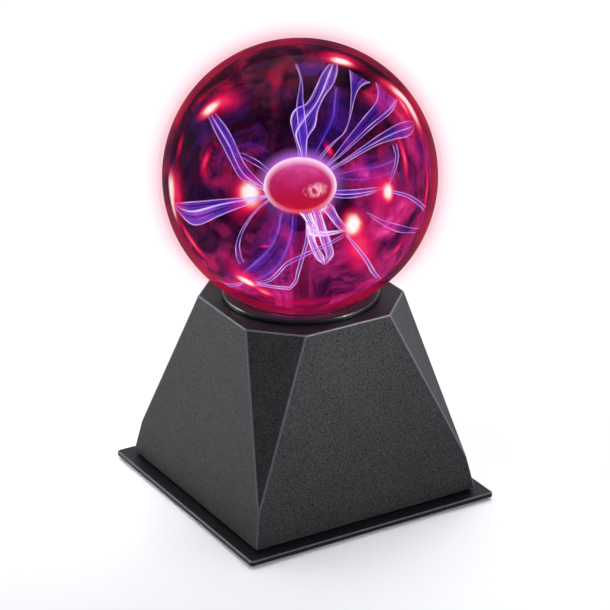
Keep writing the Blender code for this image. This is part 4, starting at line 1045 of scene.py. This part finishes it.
def gasFinish():
    # from outside the gas is a thin red haze; the far side of the globe shows its full depth
    made, tree = newMaterial("litGas")
    way = vectors(tree, "NORMALIZE", vectors(tree, "SUBTRACT", objectPoint(tree), tuple(globeCentre)))
    smoke = noise(tree, way, 1.9, 4.0, 0.58, 0.8)
    wisps = noise(tree, way, 4.6, 5.0, 0.62, 1.8)
    drift = noise(tree, way, 2.6, 4.0, 0.6, 1.2)
    sideways = vectors(tree, "DOT_PRODUCT", way, tuple(across), socket="Value")
    height = heightOf(tree, way)
    # pinker towards the foot and the right, deep red at the crown
    level = scaled(tree, height, -0.16, scaled(tree, sideways, 0.12, 0.0))
    level = maths(tree, "ADD", level, scaled(tree, smoke, 2.1, -0.74))
    level = maths(tree, "ADD", level, scaled(tree, wisps, 0.9, -0.45))
    reds = {0.1: "0c0006", 0.3: "26020e", 0.44: "540418", 0.6: "8c0628", 0.8: "c01040", 1.0: "e82a5a"}
    pinks = {0.1: "1e0526", 0.3: "4a0b40", 0.48: "86185c", 0.66: "b81f74", 0.85: "dc3890", 1.0: "fc6cc8"}
    turnTo = scaled(tree, height, -0.75, scaled(tree, sideways, 0.3, 0.3), True)
    colour = mixed(tree, turnTo, ramp(tree, level, reds), ramp(tree, level, pinks))
    # thin grey-violet strands drifting through the red
    strands = maths(tree, "ABSOLUTE", scaled(tree, wisps, 2.0, -1.0))
    strands = maths(tree, "POWER", maths(tree, "SUBTRACT", 1.0, strands, clamp=True), 7.0)
    strands = times(tree, strands, scaled(tree, smoke, 1.8, -0.55, True))
    colour = mixed(tree, times(tree, strands, 0.22), colour, linear("7a4a94"))
    # blue-violet mist at the middle heights
    band = scaled(tree, maths(tree, "ABSOLUTE", height), -2.4, 1.15, True)
    misty = times(tree, times(tree, band, scaled(tree, drift, 3.6, -1.7, True)), 0.6)
    colour = mixed(tree, misty, colour, linear("40209c"))
    cover = maths(tree, "MAXIMUM", scaled(tree, level, 0.22, 0.0, True), insideOf(tree))
    return closeLight(made, tree, lightOver(tree, cover, colour, 1.15))


gasFoot = neckEnd + electrode["flareHeight"] + 0.7 * mm
gasSide = globeSide(globe["glowInset"], 72)
gasSide[-1] = (gasSide[-1][0], gasFoot)
castNoShadow(pieceFrom(turned([*gasSide, (0, gasFoot)], globe["steps"], closed=False), "litGas", gasFinish()))
print("lit gas made")


def wallGlowFinish():
    # gas heated where the discharge meets the glass, and painted reflections of the discharge along the
    # glass: white core, orange, then red and crimson
    made, tree = newMaterial("wallGlow")
    reach = output(tree, "ShaderNodeUVMap", uv_map="glow")
    reach = vectors(tree, "LENGTH", reach, socket="Value")
    ragged = noise(tree, objectPlace(tree, 1 / (7 * mm)), 1.0, 3.0, distortion=0.6)
    heatAndShineLevel = valueOf(tree, "heatAndShine")
    fall = maths(tree, "SUBTRACT", 1.0, reach, clamp=True)
    fall = times(tree, fall, scaled(tree, ragged, 0.5, 0.75))
    level = times(tree, times(tree, fall, 1.25), heatAndShineLevel)
    reds = {0.0: "780436", 0.2: "b8084c", 0.38: "f01660", 0.54: "ff4a70"}
    colour = ramp(tree, level, {**reds, 0.68: "ff9c8c", 0.82: "ffe8da", 1.0: "ffffff"})
    cover = maths(tree, "POWER", times(tree, fall, 1.35, True), 1.5)
    cover = times(tree, cover, scaled(tree, heatAndShineLevel, 0.5, 0.5), True)
    return closeLight(made, tree, lightOver(tree, cover, colour, 1.2))


# each glow follows a line over the wall: its points, the half width of its halo, its heat (1 is white-hot)
# and where it lies when that isn't on the near wall; for the painted reflections the heat stands for
# brightness
wallGlows = {
    "crown": ([(18, 61), (23, 60.5), (28, 59)], 8, 1.0),
    "crownHalo": ([(12, 62), (23, 63), (33, 58)], 12, 0.42),
    "shoulderLeft": ([(-52, 32), (-47, 35), (-43, 38)], 8, 0.95),
    "shoulderHalo": ([(-50, 35), (-42, 38), (-35, 37)], 12, 0.44),
    "rightArc": ([(44, 50), (51, 46), (58, 40), (63, 31), (66, 20)], 11, 1.0),
    "rightArcInner": ([(52, 43), (57, 36), (60, 30)], 7, 0.62),
    "rightArcHalo": ([(50, 46), (58, 37), (62, 26)], 14, 0.35),
    "left": ([(-70, -5), (-71, -12), (-69, -20)], 16, 1.3),
    "leftHalo": ([(-67, -3), (-66, -16)], 15, 0.42),
    "behindLeft": ([(-30, -5), (-29, -10)], 13, 1.0, "far"),
    "behindLeftHalo": ([(-28, -6), (-34, -15)], 16, 0.42, "far"),
    "right": ([(47, -8.5), (47.5, -13)], 7, 1.0),
    "rightHalo": ([(44, -6), (46, -14)], 13, 0.42),
    "lowerRight": ([(28, -26), (29, -31)], 10, 1.0),
    "lowerRightHalo": ([(29, -27), (32, -40), (36, -50)], 16, 0.45),
    "lowerLeft": ([(-34, -55.5), (-29, -58), (-24, -60.5)], 6, 1.0),
    "lowerLeftTail": ([(-24, -61), (-15, -66)], 6, 0.6),
    "lowerLeftHalo": ([(-36, -52), (-24, -58)], 11, 0.42),
    # topRim to farArcLeftOuter are painted reflections of the discharge in the glass wall, not heated gas
    "topRim": ([(16, 72), (26, 69), (35, 65)], 10, 0.66, "rim"),
    "upperLeftRim": ([(-67, 31), (-62, 40), (-53, 51)], 11, 0.6, "rim"),
    "leftRim": ([(-66, 30), (-71, 16), (-73, 2)], 8, 0.34, "rim"),
    "lowerLeftRim": ([(-71, -19), (-66, -32), (-58, -44), (-48, -54)], 9, 0.6, "rim"),
    "lowerLeftInner": ([(-67, -21), (-62, -31), (-55, -41), (-46, -50)], 6, 0.5),
    "rightRim": ([(69, 24), (73, 8), (73, -8), (70, -22), (63, -36)], 9, 0.58, "rim"),
    "rightRimInner": ([(65, 16), (69, 2), (69, -10), (66, -22), (60, -33)], 5, 0.42),
    "farArcRight": ([(52, 30), (57, 18), (59.5, 6), (59, -7)], 4, 0.5, "far"),
    "farArcLeft": ([(-51, 18), (-54, 11), (-56, 4)], 4.5, 0.46, "far"),
    "farArcLeftOuter": ([(-63, 22), (-66, 8)], 5, 0.3),
    "farMiddle": ([(-3, 4), (-1, 1)], 9, 0.95, "far"),
    "farLow": ([(11, -15), (13, -14)], 8, 0.9, "far"),
    "dashLow": ([(-25, -37.5), (-16, -37.5)], 2, 0.42, "far"),
    "dashHigh": ([(14, 21), (18, 14)], 3.5, 0.42, "far"),
    # a painted reflection of the discharge in the glass wall
    "lowerRightArc": ([(47, -47), (53, -40), (57, -33)], 3.5, 0.44),
    "footGlow": ([(-30, -64), (0, -70), (30, -63)], 11, 0.22),
}


glowLayers = {
    "inset": 0.9 * mm,
    "rimInset": 0.15 * mm,
    "step": 0.07 * mm,
    "steps": 9,
    "along": 24,
    "cap": 8,
    "half": 6,
}


def wallGlowPiece(name, form, finish, order):
    # neighbouring glows lie at slightly different depths, so that no two share a surface
    flat, halfWidth, heatAndShineLevel, *where = form
    side = -1 if "far" in where else 1
    last, cap, half = glowLayers["steps"] - 1, glowLayers["cap"], glowLayers["half"]
    step = order % (last + 1) if side > 0 else last - order % (last + 1)
    radius = gasRadius - glowLayers["rimInset" if "rim" in where else "inset"] - step * glowLayers["step"]
    ways = [(laid(a, b, side * wallDepth(a, b, radius)) - globeCentre).normalized() for a, b in flat]
    width = halfWidth * mm / radius
    path = [way.normalized() for way in smoothLine(ways, glowLayers["along"])]
    capStart = (path[0] - path[1]).normalized()
    capEnd = (path[-1] - path[-2]).normalized()
    rows = [(path[0] + capStart * width * i / cap).normalized() for i in range(cap, 0, -1)]
    rows += path
    rows += [(path[-1] + capEnd * width * i / cap).normalized() for i in range(1, cap + 1)]
    reach = runningLengths(rows)
    bm = bmesh.new()
    glow = bm.loops.layers.uv.new("glow")
    heatAndShine = bm.verts.layers.float.new("heatAndShine")
    grid = []
    for i, way in enumerate(rows):
        before, after = rows[max(0, i - 1)], rows[min(len(rows) - 1, i + 1)]
        sideways = way.cross(after - before).normalized()
        along = 2 * reach[i] / reach[-1] - 1
        row = []
        for j in range(-half, half + 1):
            out = (way + sideways * width * j / half).normalized()
            vert = bm.verts.new(globeCentre + out * radius)
            vert[heatAndShine] = heatAndShineLevel
            row.append((vert, (j / half, along)))
        grid.append(row)
    for lower, upper in zip(grid, grid[1:]):
        for j in range(2 * half):
            four = (lower[j], lower[j + 1], upper[j + 1], upper[j])
            face = bm.faces.new([v for v, _ in four])
            for loop, (_, uv) in zip(face.loops, four):
                loop[glow].uv = uv
    castNoShadow(registerPiece(meshFrom(bm, name), f"{name}Glow", finish, angle=roundAngle))


glowFinish = wallGlowFinish()
for order, (name, form) in enumerate(wallGlows.items()):
    wallGlowPiece(name, form, glowFinish, order)
print("wall glows made:", len(wallGlows))


# the streamers


def peaks(tree, u, each, sharpness):
    # bright lines, so many to each whole number of u
    wave = maths(tree, "ABSOLUTE", maths(tree, "SINE", times(tree, u, each * math.pi)))
    return maths(tree, "POWER", maths(tree, "SUBTRACT", 1.0, wave), sharpness)


def ribbonFinish():
    # a sheet of thin plasma: bright threads where u is a whole number, violet film between them
    made, tree = newMaterial("plasmaRibbon")
    uv = output(tree, "ShaderNodeUVMap", uv_map="flow")
    u = output(tree, "ShaderNodeSeparateXYZ", {0: uv})
    threads = maths(tree, "ADD", peaks(tree, u, 1, 1.8), times(tree, peaks(tree, u, 3, 3.0), 0.28))
    stretch = output(tree, "ShaderNodeMapping", {"Vector": uv, "Scale": (4.0, 1.1, 1.0)})
    film = scaled(tree, noise(tree, stretch, 2.0, 3.0), 1.5, -0.54, True)
    strength, pale = valueOf(tree, "strength"), valueOf(tree, "pale")
    total = maths(tree, "ADD", times(tree, threads, 0.72), film)
    total = maths(tree, "ADD", total, times(tree, pale, 0.22))
    total = times(tree, total, strength)
    violets = {0.0: "2c18b0", 0.3: "5038f4", 0.55: "8c6cff", 0.8: "c8a8ff", 1.0: "f6e8ff"}
    blushes = {0.0: "5a18a0", 0.3: "9048e0", 0.55: "c488fc", 0.8: "e8c8ff", 1.0: "ffffff"}
    colour = mixed(tree, pale, ramp(tree, total, violets), ramp(tree, total, blushes))
    return closeLight(made, tree, lightOver(tree, times(tree, total, 1.0, True), colour, 1.35))


def threadFinish():
    # the fine bright line along each thread, brighter and dimmer in turns
    made, tree = newMaterial("plasmaThread")
    flicker = noise(tree, objectPlace(tree, 1 / (14 * mm)), 1.0, 2.0)
    colour = ramp(tree, flicker, {0.3: "ac90ff", 0.55: "d4b8ff", 0.75: "fbecff"})
    return closeLight(made, tree, lightOver(tree, scaled(tree, flicker, 1.6, -0.3, True), colour, 1.15))


plasmaRibbon, plasmaThread = ribbonFinish(), threadFinish()

# each streamer is a sheet between its lines; a line is across and up in millimetres, root first.
# A sheet leaves the electrode for the wall unless hug is given: then it floats at that share of the wall's
# depth. Wall -1 is the far wall; fine False leaves out the bright thread along each line
streamers = {
    "crownMain": (
        {},
        [(0, 11), (-2.5, 20), (-5, 30), (-2.5, 36), (4, 39), (9, 47), (12.5, 54), (17, 59)],
        [(1.5, 11), (-1.5, 19), (-2, 24), (3, 31), (8, 37), (12, 44), (15, 51), (18.5, 59)],
        [(3.5, 11), (4, 20), (8.5, 27), (10, 35), (14, 43), (18, 48), (20.5, 54), (20.5, 59)],
    ),
    "crownLeft": (
        {"strength": 0.75},
        [(2, 11), (0, 20), (-1, 30), (-1.5, 38), (0, 46), (0.5, 52), (-2, 58)],
        [(3.5, 11), (4, 22), (3, 31), (2, 40), (1.5, 50), (-1.5, 59)],
    ),
    "crownVeil": (
        {"hug": 0.98, "strength": 0.5, "pale": 0.6, "fine": False},
        [(-2, 59), (6, 60.5), (15, 61)],
        [(1.5, 51), (8, 51), (14, 53)],
    ),
    "crownFan": (
        {"strength": 0.8},
        [(12, 13), (19, 19), (24, 23), (27, 31), (28, 40), (28, 47), (27, 56)],
        [(14, 13), (20, 19), (25, 24), (27.5, 31), (30, 41), (33, 46.5), (38.5, 49)],
    ),
    "crownHaze": (
        {"strength": 0.42, "fine": False},
        [(4, 12), (9, 27), (10, 37), (13, 46)],
        [(8, 12), (17, 28), (19, 38), (20, 46)],
        [(12, 12), (24, 26), (26.5, 36), (27, 45)],
    ),
    "rightHigh": (
        {"strength": 0.62},
        [(16, 7), (25, 19), (34, 30), (41, 38), (42.5, 43), (41.5, 49)],
        [(18, 8), (28, 17), (38, 26.5), (46, 32.5), (50, 36), (52.5, 40)],
        [(19, 8), (29, 16.5), (39, 25), (47, 31), (50.5, 34.5), (53, 40)],
    ),
    "rightMiddle": (
        {"strength": 0.68},
        [(20, 6), (32, 14), (42, 21), (52, 26.5), (58, 28.3), (62, 28)],
        [(20, 5.5), (33, 13), (44, 19), (53, 23), (60, 25), (62.5, 27)],
        [(21, 5), (33, 11.5), (43, 16.5), (52, 19), (59, 20.5), (62.5, 25)],
    ),
    "rightWeb": (
        {"strength": 0.4, "pale": 0.55, "fine": False},
        [(21, 3), (32, 8), (43, 12), (52, 15)],
        [(21, 1), (32, 3), (43, 4), (52.5, 7)],
        [(20, -1), (32, -3), (42, -2), (51, 0)],
        [(20, -2), (29, -5), (38, -7), (48, -8)],
    ),
    "rightLoop": (
        {"hug": 0.97, "strength": 0.7},
        [(52, 15), (53, 8), (51, 0), (48, -7)],
        [(50, 14), (51.5, 8), (50, 1), (47.5, -7)],
    ),
    "right": (
        {"strength": 0.95},
        [(20, -8), (28, -8), (36, -8), (47, -8)],
        [(20, -10), (28, -10.5), (37, -10), (47, -8.5)],
        [(20, -12), (28, -12.5), (37, -11.5), (43, -9.5), (47, -8.5)],
    ),
    "rightFar": (
        {"hug": 0.98, "strength": 0.75, "pale": 0.5},
        [(49, -10), (57, -11.5), (63, -14), (69, -18)],
        [(49, -11), (58, -13.5), (64, -17), (68, -20)],
    ),
    "rightLow": (
        {"hug": 0.97, "strength": 0.4, "pale": 0.5},
        [(36, -22), (45, -26), (53, -28), (60, -29.5), (65, -30)],
        [(38, -24), (46, -29), (54, -32), (63, -32)],
    ),
    "lowerRight": (
        {"strength": 1.0, "pale": 0.6},
        [(18, -16), (20.5, -22), (23.5, -27), (27, -31)],
        [(14, -20), (18, -26), (22, -30.5), (27, -33)],
    ),
    "lowerRightTail": (
        {"hug": 0.98, "strength": 0.8, "pale": 0.6},
        [(25, -33), (29, -37.5), (33, -42), (37, -47), (40, -52), (44, -57)],
        [(25, -34), (28.5, -39), (32.5, -44), (36, -49), (39, -54), (42, -57)],
    ),
    "whiteLoop": (
        {"hug": 0.7, "strength": 1.5, "pale": 0.8},
        [(4, -27), (5, -33), (12, -34), (20, -32.5), (27, -30.5)],
        [(9, -30), (11, -31.5), (16, -31.5), (21, -31), (27, -30)],
    ),
    "hangingOuter": (
        {"hug": 0.55, "strength": 1.1, "pale": 0.8},
        [(7, -20), (9, -28), (11, -36), (14, -43), (14, -48)],
        [(11, -20), (14, -29), (17, -38), (18, -44), (14, -49)],
    ),
    "hangingInner": (
        {"hug": 0.6, "strength": 1.3, "pale": 0.8},
        [(3.5, -26), (4, -34), (6, -40), (9, -46), (13, -49)],
        [(7, -26), (8.5, -36), (10.5, -41), (13, -45), (13.5, -49)],
    ),
    "hangingRoot": (
        {"hug": 0.45, "strength": 1.4, "pale": 0.8},
        [(0, -21), (3, -25), (4, -28), (4, -34)],
        [(6, -21), (8, -26), (10, -31), (9, -34)],
    ),
    "bottomSheet": (
        {"strength": 0.5, "pale": 0.25, "fine": False},
        [(-18, -17), (-23, -29), (-28, -39), (-33, -46.5), (-39, -51), (-46, -57)],
        [(-11, -20), (-12, -30), (-17, -40), (-25, -48), (-34, -57)],
        [(-4, -20), (-5, -32), (-9, -44), (-16, -53), (-28, -59)],
        [(2, -22), (3, -34), (1, -44), (-2, -54), (-5, -61)],
    ),
    "bottomEdge": (
        {"hug": 0.98, "strength": 0.9, "pale": 0.4},
        [(-46, -57), (-42, -59.5), (-36, -60), (-31, -58.5)],
        [(-46, -57.5), (-42, -60.7), (-36, -61.2), (-31, -59.5)],
    ),
    "bottomRight": (
        {"hug": 0.75, "strength": 0.9, "pale": 0.4},
        [(3.5, -30), (3, -37), (1, -44), (-1.5, -52), (-3, -58), (-6, -61.5)],
        [(5, -30), (4.5, -37), (2.5, -45), (0, -53), (-2, -59), (-5.5, -62.5)],
    ),
    "bottomFoot": (
        {"hug": 0.98, "strength": 1.0, "pale": 0.7},
        [(-5, -61.5), (-14, -60.7), (-24, -58.5)],
        [(-5.5, -62.8), (-14, -62), (-24, -60)],
    ),
    "bottomCross": (
        {"hug": 0.9, "strength": 0.75, "pale": 0.4},
        [(24, -33), (15, -38), (8, -41), (0, -44.5), (-7, -48), (-12, -53), (-17, -57), (-24, -58.5)],
        [(24, -34.5), (15, -39.5), (8, -42.5), (0, -46.5), (-7, -50), (-12, -55), (-17, -58.5), (-24, -59.5)],
    ),
    "leftArc": (
        {"strength": 0.6},
        [(-20, -14), (-27, -22), (-32, -30), (-34.5, -38), (-34, -45), (-32, -49)],
        [(-20, -15), (-26, -22), (-30.5, -30), (-32.5, -38), (-31.5, -44), (-30, -48)],
    ),
    "left": (
        {"strength": 0.9, "pale": 0.15},
        [(-20, -11), (-32, -12), (-45, -13), (-58, -14.5), (-68, -15.5)],
        [(-20, -11.5), (-32, -13.5), (-45, -16), (-58, -19.5), (-63, -19), (-68, -16.5)],
        [(-20, -12), (-32, -17), (-45, -22.5), (-55, -27), (-61, -25.5), (-68, -17.5)],
    ),
    "upperLeft": (
        {"strength": 0.8},
        [(-19, -8), (-27, -5), (-33, -1), (-37, 6), (-42, 16), (-46, 24), (-49, 31)],
        [(-19, -7), (-26, -3), (-31, 1), (-35, 8), (-38, 15), (-42.5, 23), (-47, 31)],
        [(-19, -6), (-25, 0), (-30, 6), (-33, 12), (-36, 19), (-40, 26), (-45, 32)],
    ),
    "farLeft": (
        {"wall": -1, "strength": 0.35},
        [(-16, 0), (-22, 5), (-28, 9), (-34, 13), (-38, 14)],
        [(-16, 2), (-22, 8), (-28, 12), (-33, 15), (-38, 15)],
    ),
    "farMiddle": (
        {"wall": -1},
        [(-8, -8), (-10, -3), (-9, 2), (-6, 4), (-3, 3)],
        [(-6, -10), (-7, -6), (-6, -2), (-4, 1), (-2, 2)],
        [(-3, -11), (-3, -8), (-3, -5), (-2, -2), (-1, 1)],
    ),
    "farLow": (
        {"wall": -1},
        [(6, -10), (9, -12), (11, -14), (12, -15), (12, -14)],
        [(4, -12), (6, -15), (9, -17), (11, -17), (12, -15)],
    ),
    "upperLeftWeb": (
        {"hug": 0.5, "strength": 0.5, "fine": False},
        [(-50, 14), (-44, 11), (-35, 13), (-25, 15), (-17, 11)],
        [(-50, 15), (-44, 12.5), (-35, 15), (-25, 17), (-16, 12)],
    ),
}


sheet = {
    "stations": 56,
    "strips": 6,
    "curl": 4.0,  # in millimetres, like the lines
    "lift": 0.2 * mm,  # of the roots over the electrode
    "margin": 0.7 * mm,  # inside the gas
    "thread": 0.12 * mm,
}


def onElectrode(point):
    offset = point - electrodeCentre
    r, h = electrode["radius"] + sheet["lift"], electrode["half"] + sheet["lift"]
    return electrodeCentre + offset / math.sqrt((offset.x**2 + offset.y**2) / r**2 + offset.z**2 / h**2)


def kept(point):
    # keeps a point inside the gas
    offset = point - globeCentre
    return globeCentre + offset.normalized() * min(offset.length, gasRadius - sheet["margin"])


def threadLines(name, options, flats):
    stations = sheet["stations"]
    rng = random.Random(name)
    waves = [(rng.uniform(0.6, 1.7), rng.uniform(0, 6.28), rng.uniform(0.5, 1.6)) for _ in range(3)]
    middle = (len(flats) - 1) / 2
    hug = options.get("hug", 0.0)
    lines = []
    for k, flat in enumerate(flats):
        end = wallDepth(*flat[-1], gasRadius) * options.get("wall", 1)
        line = []
        for i, point in enumerate(smoothLine([Vector((a, b, 0)) for a, b in flat], stations)):
            s = i / stations
            wall = wallDepth(point.x, point.y, gasRadius)
            depth = wall * hug if hug else end * s**1.25
            sway = sum(size * math.sin(2 * math.pi * f * s + phase) for f, phase, size in waves)
            curl = (k - middle) * sheet["curl"] * math.sin(math.pi * s)
            depth += (sway + curl) * (1 - hug) * math.sin(math.pi * s)
            line.append(kept(laid(point.x, point.y, min(depth, wall))))
        if not hug:
            # the first few points run down on to the electrode's surface
            for i in range(4):
                line[i] = onElectrode(line[i]).lerp(line[i], i / 4)
        lines.append(line)
    return lines


def ribbonPiece(name, options, lines):
    strength, pale, fine = options.get("strength", 1.0), options.get("pale", 0.08), options.get("fine", True)
    stations, strips, gaps = sheet["stations"], sheet["strips"], len(lines) - 1
    bm = bmesh.new()
    flow = bm.loops.layers.uv.new("flow")
    strong = bm.verts.layers.float.new("strength")
    milk = bm.verts.layers.float.new("pale")
    grid = []
    for k, (first, second) in enumerate(zip(lines, lines[1:])):
        for j in range(strips + (k == gaps - 1)):
            t = j / strips
            u = k + t
            soft = 1.0 if fine else math.sin(math.pi * u / gaps) ** 0.7
            column = []
            for i, (a, b) in enumerate(zip(first, second)):
                s = i / stations
                vert = bm.verts.new(a.lerp(b, t))
                vert[strong] = strength * soft * min(1.0, 0.5 + s * 5) * min(1.0, 0.6 + (1 - s) * 4)
                vert[milk] = min(1.0, pale + 0.8 * max(0, 0.14 - s) / 0.14 + 0.9 * max(0, s - 0.82) / 0.18)
                column.append(vert)
            grid.append((u, column))
    for (u0, left), (u1, right) in zip(grid, grid[1:]):
        for i in range(stations):
            face = bm.faces.new((left[i], left[i + 1], right[i + 1], right[i]))
            spots = ((u0, i), (u0, i + 1), (u1, i + 1), (u1, i))
            for loop, (u, row) in zip(face.loops, spots):
                loop[flow].uv = (u, row / stations)
    castNoShadow(registerPiece(meshFrom(bm, name), f"{name}Film", plasmaRibbon, angle=roundAngle))


def threadTree():
    # turns each edge line into a thin tube
    tree, start, identifiers = geometryTree("threadTubes", {"Radius": "NodeSocketFloat"})
    curve = output(tree, "GeometryNodeMeshToCurve", {0: start.outputs[0]})
    inputs = {"Resolution": 6, "Radius": start.outputs["Radius"]}
    ring = output(tree, "GeometryNodeCurvePrimitiveCircle", inputs)
    inputs = {"Curve": curve, "Profile Curve": ring, "Fill Caps": True}
    closeTree(tree, output(tree, "GeometryNodeCurveToMesh", inputs), plasmaThread)
    return tree, identifiers


tubeTree, tubeInputs = threadTree()
for name, (options, *flats) in streamers.items():
    lines = threadLines(name, options, flats)
    ribbonPiece(name, options, lines)
    if options.get("fine", True):
        radius = sheet["thread"] * (1 + options.get("strength", 1.0))
        mesh = grown(linesHolder(lines), tubeTree, tubeInputs, {"Radius": radius})
        castNoShadow(registerPiece(mesh, f"{name}Threads", plasmaThread, angle=roundAngle))
print("streamers made:", len(streamers))


# the light that the globe sheds on its deck


def globeLamp(name, rise, radius, power, colour, kind="POINT"):
    data = bpy.data.lights.new(name, kind)
    data.shadow_soft_size = radius
    data.energy = power
    data.color = linear(colour)[:3]
    made = placed(name, data)
    made.location = (0, 0, deckZ + rise)
    made.visible_camera = made.visible_glossy = False
    return data


globeLamp("globeGlow", 18 * mm, 14 * mm, 0.25, "ff50b4")
deckLamp = globeLamp("deckGlow", 45 * mm, 12 * mm, 6.0, "ff2a78", "SPOT")
deckLamp.spot_size = math.radians(90)
deckLamp.spot_blend = 0.5


def airGlow():
    # the pink bloom in the air round the lit globe; it belongs to the stage, not to the part
    for layer, end, density in ((3, 143, 7.0), (6, 138, 3.6), (10, 131, 2.4), (15, 120, 1.4)):
        made, tree = newMaterial(f"pinkBloom{layer}")
        soak = {"Color": linear("ee7690"), "Density": density}
        closeMaterial(tree, output(tree, "ShaderNodeVolumeAbsorption", soak), "Volume")
        outer = arcPoints(0, globeZ, globe["radius"] + layer * mm, 0, end, 48)
        inner = arcPoints(0, globeZ, globe["radius"] + 0.5 * mm, end, 0, 48)
        outer[0], inner[-1] = (0, outer[0][1]), (0, inner[-1][1])
        shell = scratchObject(turned([*outer, *inner], closed=False), f"bloom{layer}")
        shell.data.materials.append(made)
        shell.visible_shadow = shell.visible_diffuse = shell.visible_glossy = False


airGlow()


# the power inlet and the rocker switch on the back wall

inlet = {
    "proud": 2.3 * mm,  # of the pocket's floor
    "bore": 3.0 * mm,
    "boreEdge": 0.5 * mm,
    "boreDepth": 10.0 * mm,
    "flange": 5.4 * mm,
    "flangeEdge": 0.4 * mm,
    "shank": 4.0 * mm,
    "shankLength": 12.0 * mm,
    "pin": 1.05 * mm,
    "pinHole": 1.4 * mm,
    "pinInset": 1.5 * mm,
    "pinTail": 4.0 * mm,
}
inletTurn = Matrix.Translation((housing["inletX"], 0, housing["inletZ"])) @ Matrix.Rotation(
    math.radians(-90), 4, "X"
)


def inletPiece(bm, name, finish, nodes):
    bmesh.ops.transform(bm, matrix=inletTurn, verts=bm.verts)
    pieceFrom(bm, name, finish, nodes)


def makeInlet():
    front = pocketY + inlet["proud"]
    back, boreEnd = pocketY - housing["pocketWall"] - inlet["shankLength"], front - inlet["boreDepth"]
    bore, flange, edge, foot = inlet["bore"], inlet["flange"], inlet["flangeEdge"], pocketY + clearance
    profile = [
        (bore, front - inlet["boreEdge"]),
        (bore + inlet["boreEdge"], front),
        (flange - edge, front),
        (flange, front - edge),
        (flange, foot),
        (inlet["shank"], foot),
        (inlet["shank"], back),
        (inlet["pinHole"], back),
        (inlet["pinHole"], boreEnd),
        (bore, boreEnd),
    ]
    inletPiece(turned(profile, 64), "inletBody", satinAbs, ["inlet_body"])
    pin, tip, end = inlet["pin"], front - inlet["pinInset"], back - inlet["pinTail"]
    profile = [(0, tip), *arcPoints(pin - edge, tip - edge, edge, 0, 90, 4), (pin, end), (0, end)]
    pin = turned(profile, 32, closed=False)
    inletPiece(pin, "inletPin", nickelBrass, ["inlet_pin"])


switch = {
    "caseLength": 19.0 * mm,
    "caseWidth": 13.0 * mm,
    "caseDepth": 14.0 * mm,
    "bezelMargin": 1.0 * mm,
    "bezelHeight": 1.7 * mm,
    "bezelEdge": 0.55 * mm,
    "wellLength": 17.6 * mm,
    "wellWidth": 10.6 * mm,
    "wellDepth": 8.0 * mm,
    "wellEdge": 0.3 * mm,
    "endGap": 1.2 * mm,  # between the well's end and the rocker's face
    "hipGap": 0.4 * mm,
    "tagSlot": (5.2 * mm, 1.4 * mm, 12.0 * mm),
    "tagPitch": 6.0 * mm,
    "tagZ": -14.8 * mm,
    "pivotDepth": 2.0 * mm,
    "rockerWidth": 10.0 * mm,
    "rockerTop": 6.0 * mm,
    "rockerEdge": 0.35 * mm,
    "bellyDrop": 2.0 * mm,
    "keelDrop": 3.6 * mm,
    "dish": 1.2 * mm,
    "markPlace": 4.6 * mm,
    "bar": (0.7 * mm, 3.0 * mm, 1.2 * mm),
    "ring": (0.95 * mm, 1.5 * mm),
    "rest": 12.0,
}


def switchCase():
    margin, height = 2 * switch["bezelMargin"], switch["bezelHeight"]
    size = (switch["caseWidth"] + margin, switch["caseLength"] + margin, height)
    bezel = boxMesh(size, (0, 0, clearance + height / 2), switch["bezelEdge"], 3)
    depth = switch["caseDepth"] + clearance + height / 2
    size = (switch["caseWidth"], switch["caseLength"], depth)
    shaft = slab(size, (0, 0, depth / 2 - switch["caseDepth"]))
    case = placed("scratch", carve(scratchObject(bezel), [shaft], "UNION"))
    height = clearance + height + 2 * mm + switch["wellDepth"]
    size = (switch["wellWidth"], switch["wellLength"], height)
    well = scratchObject(boxMesh(size, (0, 0, height / 2 - switch["wellDepth"]), switch["wellEdge"]))
    slots = [slab(switch["tagSlot"], (0, i * switch["tagPitch"], switch["tagZ"])) for i in (1, 0, -1)]
    mesh = carve(case, [well, *slots])
    mesh.transform(switchTurn)
    registerPiece(mesh, "switchCase", satinAbs, ["switch_case"], flatAngle)


def switchRocker():
    top, halfWell, half = switch["rockerTop"], switch["wellLength"] / 2, switch["rockerWidth"] / 2
    end, hip = halfWell - switch["endGap"], halfWell - switch["hipGap"]
    belly, bellyZ = 0.75 * halfWell, -switch["bellyDrop"]
    keel, keelZ = 0.3 * halfWell, -switch["keelDrop"]
    outline = []
    for i in range(17):
        y = end - 2 * end * i / 16
        outline.append((y, top - switch["dish"] * (1 - (y / end) ** 2)))
    outline += [(-hip, mm), (-belly, bellyZ), (-keel, keelZ), (keel, keelZ), (belly, bellyZ), (hip, mm)]
    bm = bmesh.new()
    face = bm.faces.new([bm.verts.new((-half, y, z)) for y, z in outline])
    extruded = bmesh.ops.extrude_face_region(bm, geom=[face])
    moved = [v for v in extruded["geom"] if isinstance(v, bmesh.types.BMVert)]
    bmesh.ops.translate(bm, vec=(2 * half, 0, 0), verts=moved)
    bmesh.ops.recalc_face_normals(bm, faces=bm.faces)
    rims = [e for e in bm.edges if e.calc_face_angle(0) > math.radians(50)]
    bevelled(bm, rims, switch["rockerEdge"], 3)
    rocker = scratchObject(bm)
    # moulded marks: a bar at one end and a ring at the other, sunk into the face
    place, (small, large) = switch["markPlace"], switch["ring"]
    bar = slab(switch["bar"], (0, -place, top - 0.1 * mm))
    high, low = top + 0.3 * mm, top - 0.75 * mm
    ring = turned([(large, high), (large, low), (small, low), (small, high)], 40, centre=(0, place))
    mesh = carve(rocker, [bar, scratchObject(ring)])
    turn = Matrix.Rotation(math.radians(switch["rest"]), 4, "X")
    mesh.transform(switchTurn @ Matrix.Translation((0, 0, -switch["pivotDepth"])) @ turn)
    angle = math.radians(25)
    registerPiece(mesh, "switchRocker", glossAbs, ["switch_rocker"], angle, "rocker")


makeInlet()
switchCase()
switchRocker()
print("inlet and switch made")
